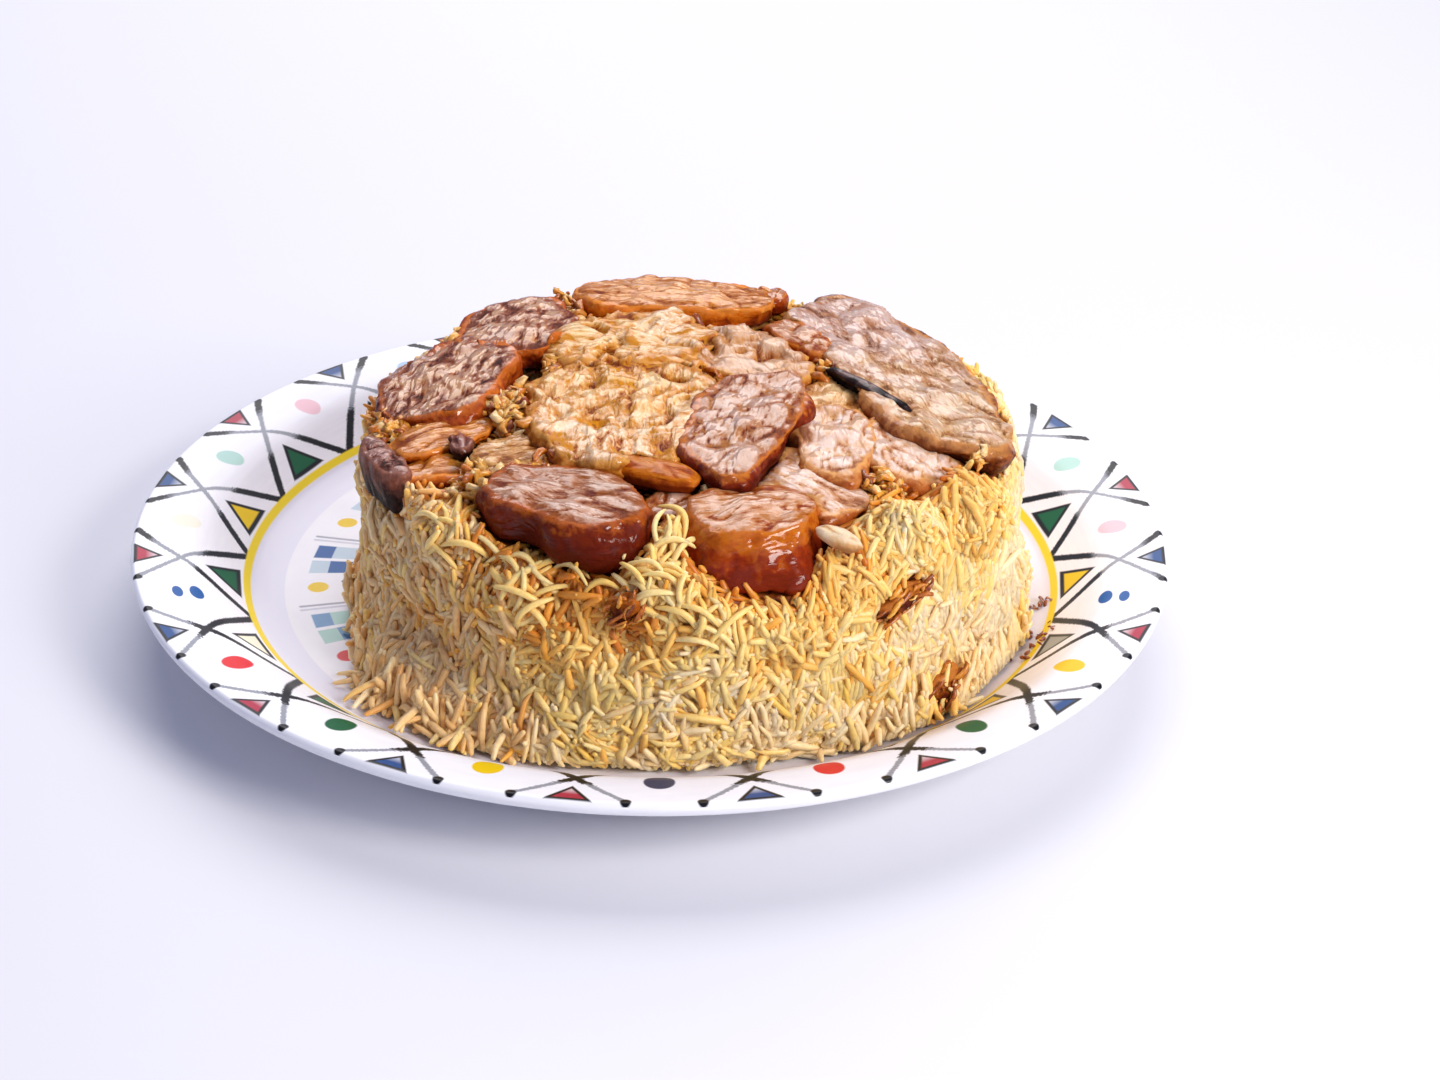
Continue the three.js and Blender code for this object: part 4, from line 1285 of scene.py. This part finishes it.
def steamed_rice(name, light, dark):
    """Grains of one kind, from a light to a dark tone."""
    material, tree = new_material(name)
    tone = add(tree, "Attribute", attribute_name="tone").outputs["Fac"]
    colour = add(tree, "Mix", {0: tone, 6: linear(light), 7: linear(dark)}, data_type="RGBA").outputs[2]
    place = place_in_mm(tree)
    veins = add(tree, "TexNoise", {"Vector": place, "Scale": 0.8, "Detail": 2.0})
    veins = add(tree, "MapRange", {
        "Value": veins, "From Min": 0.3, "From Max": 0.7, "To Min": 0.88, "To Max": 1.06,
    })
    colour = add(tree, "VectorMath", {0: colour, "Scale": veins}, operation="SCALE")
    shader = add(tree, "BsdfPrincipled", {
        "Base Color": colour, "Roughness": 0.36, "IOR": 1.4,
        "Subsurface Weight": 0.4, "Subsurface Radius": (1.0, 0.85, 0.65),
        "Subsurface Scale": 1.8 * MM,
    })
    add(tree, "OutputMaterial", [shader])
    return material


KINDS = {
    "rice_cream": steamed_rice("Rice_steamed_cream", "#ffe8bc", "#fccc84"),
    "rice_yellow": steamed_rice("Rice_steamed_light_yellow", "#ffe09c", "#ffca60"),
    "rice_gold": steamed_rice("Rice_steamed_in_broth", "#ffd27c", "#f8a838"),
    "rice_stained": steamed_rice("Rice_stained_by_juice", "#f4a840", "#c0600e"),
    "rice_beige": steamed_rice("Rice_from_the_wall_of_the_pot", "#ffdca4", "#e8a858"),
}
# The shares of the grains that are cream, at most yellow, and at most gold.
SHARES = [0.36, 0.66, 0.88]
BEIGE = list(KINDS).index("rice_beige")
stain_and_shade = stain_and_shade_of(places, outward, round_drum) + random.normal(0, 0.09, count)
core_points = points_of(core.data)
# The core is coloured by the same value, with its painted shade in the hollows and gaps.
store(core.data, "stain_and_shade", stain_and_shade_of(core_points, normals_of(core.data), angles_of(core_points)))
left = fade(RICE_MIDDLE[0] - places[:, 0], 28, 68) * random.random(count)
cuts = np.quantile(stain_and_shade, SHARES)
kind = np.searchsorted(cuts, stain_and_shade)
kind = np.where((left > 0.26) & (stain_and_shade < cuts[2]), BEIGE, kind)
print("grains of each kind:", np.bincount(kind[clear], minlength=len(KINDS)).tolist())

# %% [markdown]
# A grain is drawn as a bent cylinder with blunt ends: four rings of five points and two tips, 40
# triangles. That is enough at its size, because its shading is smooth. All grains of a kind are
# joined in one mesh, and each keeps its own tone.

# %% Grain meshes
SIDES = 5
# The rings' places from tip to tip, and their width as a share of the grain's.
RINGS = np.array([0.04, 0.3, 0.7, 0.96])
GIRTH = np.array([0.74, 1.08, 1.08, 0.68])
# So many grains stay under 200,000 triangles, the most that a piece may have.
MOST = 4990


def strands(name, lie, tone, material, ragged=0.0, places_on=RINGS, girth=GIRTH):
    """Joins bent round-ended strands in one mesh. `lie` holds the place, direction, direction of
    the bend, length, width and bend of each. `ragged` tears their outline, by so many mm."""
    start, way, bow, length, width, bend = lie
    n = len(start)
    share = np.concatenate([[0.0], places_on, [1.0]])
    arch = 1 - (2 * share - 1) ** 2
    across = np.cross(way, bow)
    reach = length[:, None, None] * (share - 0.5)[None, :, None]
    spine = start[:, None] + way[:, None] * reach + bow[:, None] * (bend[:, None] * arch)[:, :, None]
    turn = np.arange(SIDES) * 2 * math.pi / SIDES
    circle = bow[:, None] * np.cos(turn)[None, :, None] + across[:, None] * np.sin(turn)[None, :, None]
    radius = width[:, None] / 2 * girth
    rings = spine[:, 1:-1, None] + circle[:, None] * radius[:, :, None, None]
    points = np.concatenate([spine[:, :1], rings.reshape(n, -1, 3), spine[:, -1:]], axis=1)
    per_strand = points.shape[1]
    shape = []
    for side in range(SIDES):
        after = (side + 1) % SIDES
        shape.append((0, 1 + after, 1 + side))
        for row in range(len(places_on) - 1):
            low, high = 1 + row * SIDES, 1 + (row + 1) * SIDES
            shape.append((low + side, low + after, high + after, high + side))
        last = 1 + (len(places_on) - 1) * SIDES
        shape.append((last + side, last + after, per_strand - 1))
    faces = [tuple(v + strand * per_strand for v in face) for strand in range(n) for face in shape]
    points = points.reshape(-1, 3)
    if ragged:
        points = wandered(points, 1.1, ragged, 70)
    piece = piece_from(name, points, faces)
    store(piece.data, "tone", np.repeat(tone, per_strand))
    return finish_piece(piece, material)


for number, (name, material) in enumerate(KINDS.items()):
    chosen = np.flatnonzero(clear & (kind == number))[:MOST]
    lie = [values[chosen] for values in (places, along, bent, length, width, bend)]
    tone = np.clip(random.normal(0.42, 0.22, len(chosen)), 0, 1)
    piece = strands(name, lie, tone, material)
    piece.data.calc_loop_triangles()
    print(name, len(chosen), "grains,", len(piece.data.loop_triangles), "triangles")

# %% [markdown]
# Where the lid's front slices leave a gap, long grains soaked in fat curl out over the others. They
# are the same strands with more rings, so that a strong bend stays round.

# %% Curled grains
# Angle round the drum in degrees, height in mm, and how many. Their own draws keep them in place
# when something before them changes.
random = np.random.default_rng(12)
CURLS = [(-97, 60, 80), (-98, 53, 50), (-132, 54, 14), (-118, 48, 16), (-90, 48, 16)]
# They start in the drum's side, at most so far in from the ray's start, in mm.
CURL_DEEPEST = 80.0
CURL_RINGS = np.linspace(0.03, 0.97, 9)
CURL_GIRTH = np.array([0.62, 0.9, 1.0, 1.0, 1.0, 1.0, 1.0, 0.9, 0.6])


def curl_places():
    """Places and normals on the core, near the middle of each group."""
    found = []
    for angle, height, count in CURLS:
        for turn, level in zip(random.normal(angle, 3.5, count), random.normal(height, 3.0, count)):
            hit, normal = met_from_outside(turn, level, CURL_DEEPEST)
            if hit is not None:
                found.append([*hit, *normal])
    found = np.array(found)
    return found[:, :3], unit(found[:, 3:])


spots, facing = curl_places()
n = len(spots)
# Half of them arch upward like a bow, and the others hang down, bent to one side.
way, _ = lie_of(facing, np.full(n, 0.6), np.zeros(n))
arched = random.random(n) < 0.5
level = unit(np.cross(UP, facing)) + UP * random.normal(0, 0.5, n)[:, None]
way = np.where(arched[:, None], unit(level), way)
side = unit(np.cross(way, facing))
side = side * np.where(arched, np.sign(side[:, 2]), random.choice([-1.0, 1.0], n))[:, None]
bow = unit(side * random.uniform(0.7, 1.5, n)[:, None] + facing)
long = random.uniform(8.0, 13.0, n) + 4.0 * arched
curve = random.uniform(1.5, 4.0, n) + 2.0 * arched
spots = spots + facing * random.uniform(0.8, 2.4, n)[:, None] - bow * (curve * 0.4)[:, None]
free = clear_of_lid(spots, way, long)
lie = [values[free] for values in (spots, way, bow, long, random.uniform(1.4, 1.9, n), curve)]
tone = np.clip(random.normal(0.4, 0.25, free.sum()), 0, 1)
strands("rice_curls", lie, tone, KINDS["rice_yellow"], 0.0, CURL_RINGS, CURL_GIRTH)
print("curled grains:", int(free.sum()), "of", n)

# %% [markdown]
# The gaps between the lid's pieces are full of small stuff: shreds of chicken, bits of onion and
# potato that broke off, all soaked in juice. First the gaps are found. A place is one where a ray
# from above meets rice, and the rays sent out level meet pieces of the lid on most sides.

# %% Gaps of the lid
CRUMBS_TRIED = 14000
GAP_WIDTH, GAP_WAYS, WALLS_NEEDED = 12.0, 8, 5
# In front of this line the lid is open and shows rice alone.
RICE_ONLY_Y = -70.0
# Above the dish, and the least height of rice that is still under the lid.
ABOVE, LID_FLOOR = 90.0, 50.0


def seen_from_above(tree, x, y):
    """The point of a search tree that is met first from above."""
    return tree.ray_cast(Vector((x, y, ABOVE)), Vector(-UP))[0]


def gap_depth(rice):
    """How deep a gap of the lid is at a point of the rice, or None where there is no gap."""
    middle = rice + Vector((0, 0, 3.0))
    ways = [Vector(level_way(360 / GAP_WAYS * k)) for k in range(GAP_WAYS)]
    walls = [lid_tree.ray_cast(middle, way, GAP_WIDTH)[0] for way in ways]
    walls = [wall for wall in walls if wall is not None]
    if len(walls) < WALLS_NEEDED:
        return None
    wall = min(walls, key=lambda hit: (hit - middle).length)
    beyond = wall + (wall - middle).normalized() * 2.5
    crest = seen_from_above(lid_tree, beyond.x, beyond.y)
    crest = rice.z + 3.0 if crest is None else crest.z
    return max(crest - rice.z - 1.0, 1.0)


def gaps_of_lid():
    """Places on the rice in the gaps of the lid, each with the gap's depth."""
    found = []
    for x, y in random.uniform(-82, 82, (CRUMBS_TRIED, 2)) + RICE_MIDDLE:
        rice = seen_from_above(core_tree, x, y)
        if rice is None or rice.z < LID_FLOOR or y < RICE_ONLY_Y:
            continue
        if seen_from_above(lid_tree, x, y) is None:
            depth = gap_depth(rice)
            if depth is not None:
                found.append((*rice, depth))
    return np.array(found)


gaps = gaps_of_lid()
print("places in the gaps:", len(gaps), "mean depth", round(float(gaps[:, 3].mean()), 1), "mm")

# %% [markdown]
# Each crumb is a ball of 80 triangles, flattened, drawn out and dented by a random field. In a gap
# they lie from the rice up to just under the tops of the pieces. Some reddish crumbs lie on the
# plate at the drum's foot. Bits of cooked meat and onion are damp and let some light in, and a thin
# film of juice lies on them.

# %% Crumbs
def ball():
    """Points and triangles of a small ball."""
    mesh = bpy.data.meshes.new("ball")
    form = bmesh.new()
    bmesh.ops.create_icosphere(form, subdivisions=2, radius=1.0)
    form.to_mesh(mesh)
    form.free()
    points = points_of(mesh) * MM
    faces = [tuple(face.vertices) for face in mesh.polygons]
    bpy.data.meshes.remove(mesh)
    return points, faces


def crumbs(name, places, size, tone, material):
    """Joins one dented ball for each place in one mesh."""
    base, shape = ball()
    n = len(places)
    stretch = size[:, None] * random.uniform([1.1, 0.45, 0.3], [2.9, 0.85, 0.6], (n, 3))
    turn = random.uniform(0, 2 * math.pi, n)
    lift = random.normal(0, 0.35, n)
    x_axis = unit(np.column_stack([np.cos(turn), np.sin(turn), lift]))
    y_axis = unit(np.cross(UP, x_axis))
    axes = np.stack([x_axis, y_axis, np.cross(x_axis, y_axis)], axis=1)
    points = (places[:, None] + (base * stretch[:, None]) @ axes).reshape(-1, 3)
    outward = (base @ axes).reshape(-1, 3)
    dent = 0.7 * ripple(points, 1.3, 61) + 0.5 * ripple(points, 0.7, 62)
    points = points + outward * (np.repeat(size, len(base)) * dent)[:, None]
    faces = [tuple(v + k * len(base) for v in face) for k in range(n) for face in shape]
    piece = piece_from(name, points, faces)
    store(piece.data, "tone", np.repeat(tone, len(base)))
    return finish_piece(piece, material)


def pulled_bits():
    """From dark juice through gold to cream: what broke off the browned pieces."""
    material, tree = new_material("Shreds_of_chicken_and_onion_in_juice")
    tone = add(tree, "Attribute", attribute_name="tone").outputs["Fac"]
    place = place_in_mm(tree)
    grit = add(tree, "TexNoise", {"Vector": place, "Scale": 1.2, "Detail": 3.0})
    mixed = add(tree, "Math", [grit, 0.5, tone], operation="MULTIPLY_ADD")
    colour = add(tree, "ValToRGB", [mixed], stops=[
        (0.2, "#7a2c04"), (0.42, "#c46c0c"), (0.7, "#e8a83c"), (0.98, "#f6d494"),
    ]).outputs[0]
    bump = add(tree, "Bump", {"Strength": 0.6, "Distance": 0.4 * MM, "Height": grit})
    shader = add(tree, "BsdfPrincipled", {
        "Base Color": colour, "Roughness": 0.4, "Normal": bump, "IOR": 1.42,
        "Subsurface Weight": 0.15, "Subsurface Radius": (1.0, 0.45, 0.2),
        "Subsurface Scale": 1.0 * MM,
        "Coat Weight": 0.5, "Coat Roughness": 0.2, "Coat IOR": FAT_IOR,
    })
    add(tree, "OutputMaterial", [shader])
    return material


bits_material = pulled_bits()
in_gaps = gaps[:, :3].copy()
in_gaps[:, 2] += gaps[:, 3] * random.uniform(0.1, 1.0, len(gaps))
at_foot = foot_places(26, -24, -2, (1.0, 9.0))
at_foot[:, 2] += 0.5
spots = np.vstack([in_gaps, at_foot])
sizes = np.concatenate([random.uniform(0.6, 1.5, len(gaps)), random.uniform(0.45, 0.9, len(at_foot))])
tones = np.concatenate([np.clip(random.normal(0.36, 0.2, len(gaps)), 0, 0.8), np.zeros(len(at_foot))])
bits = crumbs("crumbs_of_the_lid", spots, sizes, tones, bits_material)
print("crumbs:", len(spots), "with", len(bits.data.polygons), "triangles")

# %% [markdown]
# Pulled meat and soft onion come apart in short shreds, and these fill the gaps as well. They are
# made with the same function as the grains, only shorter, thicker and more bent, and they lie in
# every direction.

# %% Shreds in the gaps
SHREDS_PER_GAP = 2
n = SHREDS_PER_GAP * len(gaps)
spots = np.repeat(gaps[:, :3], SHREDS_PER_GAP, axis=0) + random.normal(0, 1.2, (n, 3)) * [1, 1, 0]
spots[:, 2] += np.repeat(gaps[:, 3], SHREDS_PER_GAP) * random.uniform(0.3, 1.0, n)
way = unit(random.normal(size=(n, 3)) * [1, 1, 0.35])
bow = unit(np.cross(way, random.normal(size=(n, 3))))
lie = [
    spots, way, bow,
    random.uniform(2.0, 6.0, n), random.uniform(1.0, 2.4, n), random.uniform(0.4, 1.8, n),
]
tone = np.clip(random.normal(0.38, 0.2, n), 0, 0.8)
strands("shreds_in_the_gaps", lie, tone, bits_material, 0.9)
print("shreds:", n)

# %% [markdown]
# The shreds of meat in the rice are torn, not cut: bundles of fibres that stand apart at their
# ends. Each fibre starts at a random point of the shred and runs along it, a little off its line.

# %% Fibres of the torn meat
# Fibres of each shred.
FIBRES = 34


def torn_fibres(piece):
    """Place, direction and direction of the bend for each fibre of one shred."""
    points = points_of(piece.data)
    middle = points.mean(axis=0)
    axis = np.linalg.eigh(np.cov((points - middle).T))[1][:, 2]
    spots = points[random.choice(len(points), FIBRES)]
    spots = spots + (spots - middle) * 0.15
    way = unit(axis + random.normal(0, 0.28, (FIBRES, 3)))
    return spots, way, unit(np.cross(way, random.normal(size=(FIBRES, 3))))


torn = [torn_fibres(piece) for piece in lid if piece.name.startswith("meat")]
spots, way, bow = (np.vstack(values) for values in zip(*torn))
n = len(spots)
lie = [
    spots, way, bow,
    random.uniform(2.5, 7.0, n), random.uniform(0.6, 1.4, n), random.uniform(0.2, 1.2, n),
]
tone = np.clip(random.normal(0.12, 0.14, n), 0, 0.8)
strands("fibres_of_the_meat", lie, tone, bits_material, 0.4)
print("fibres:", n)
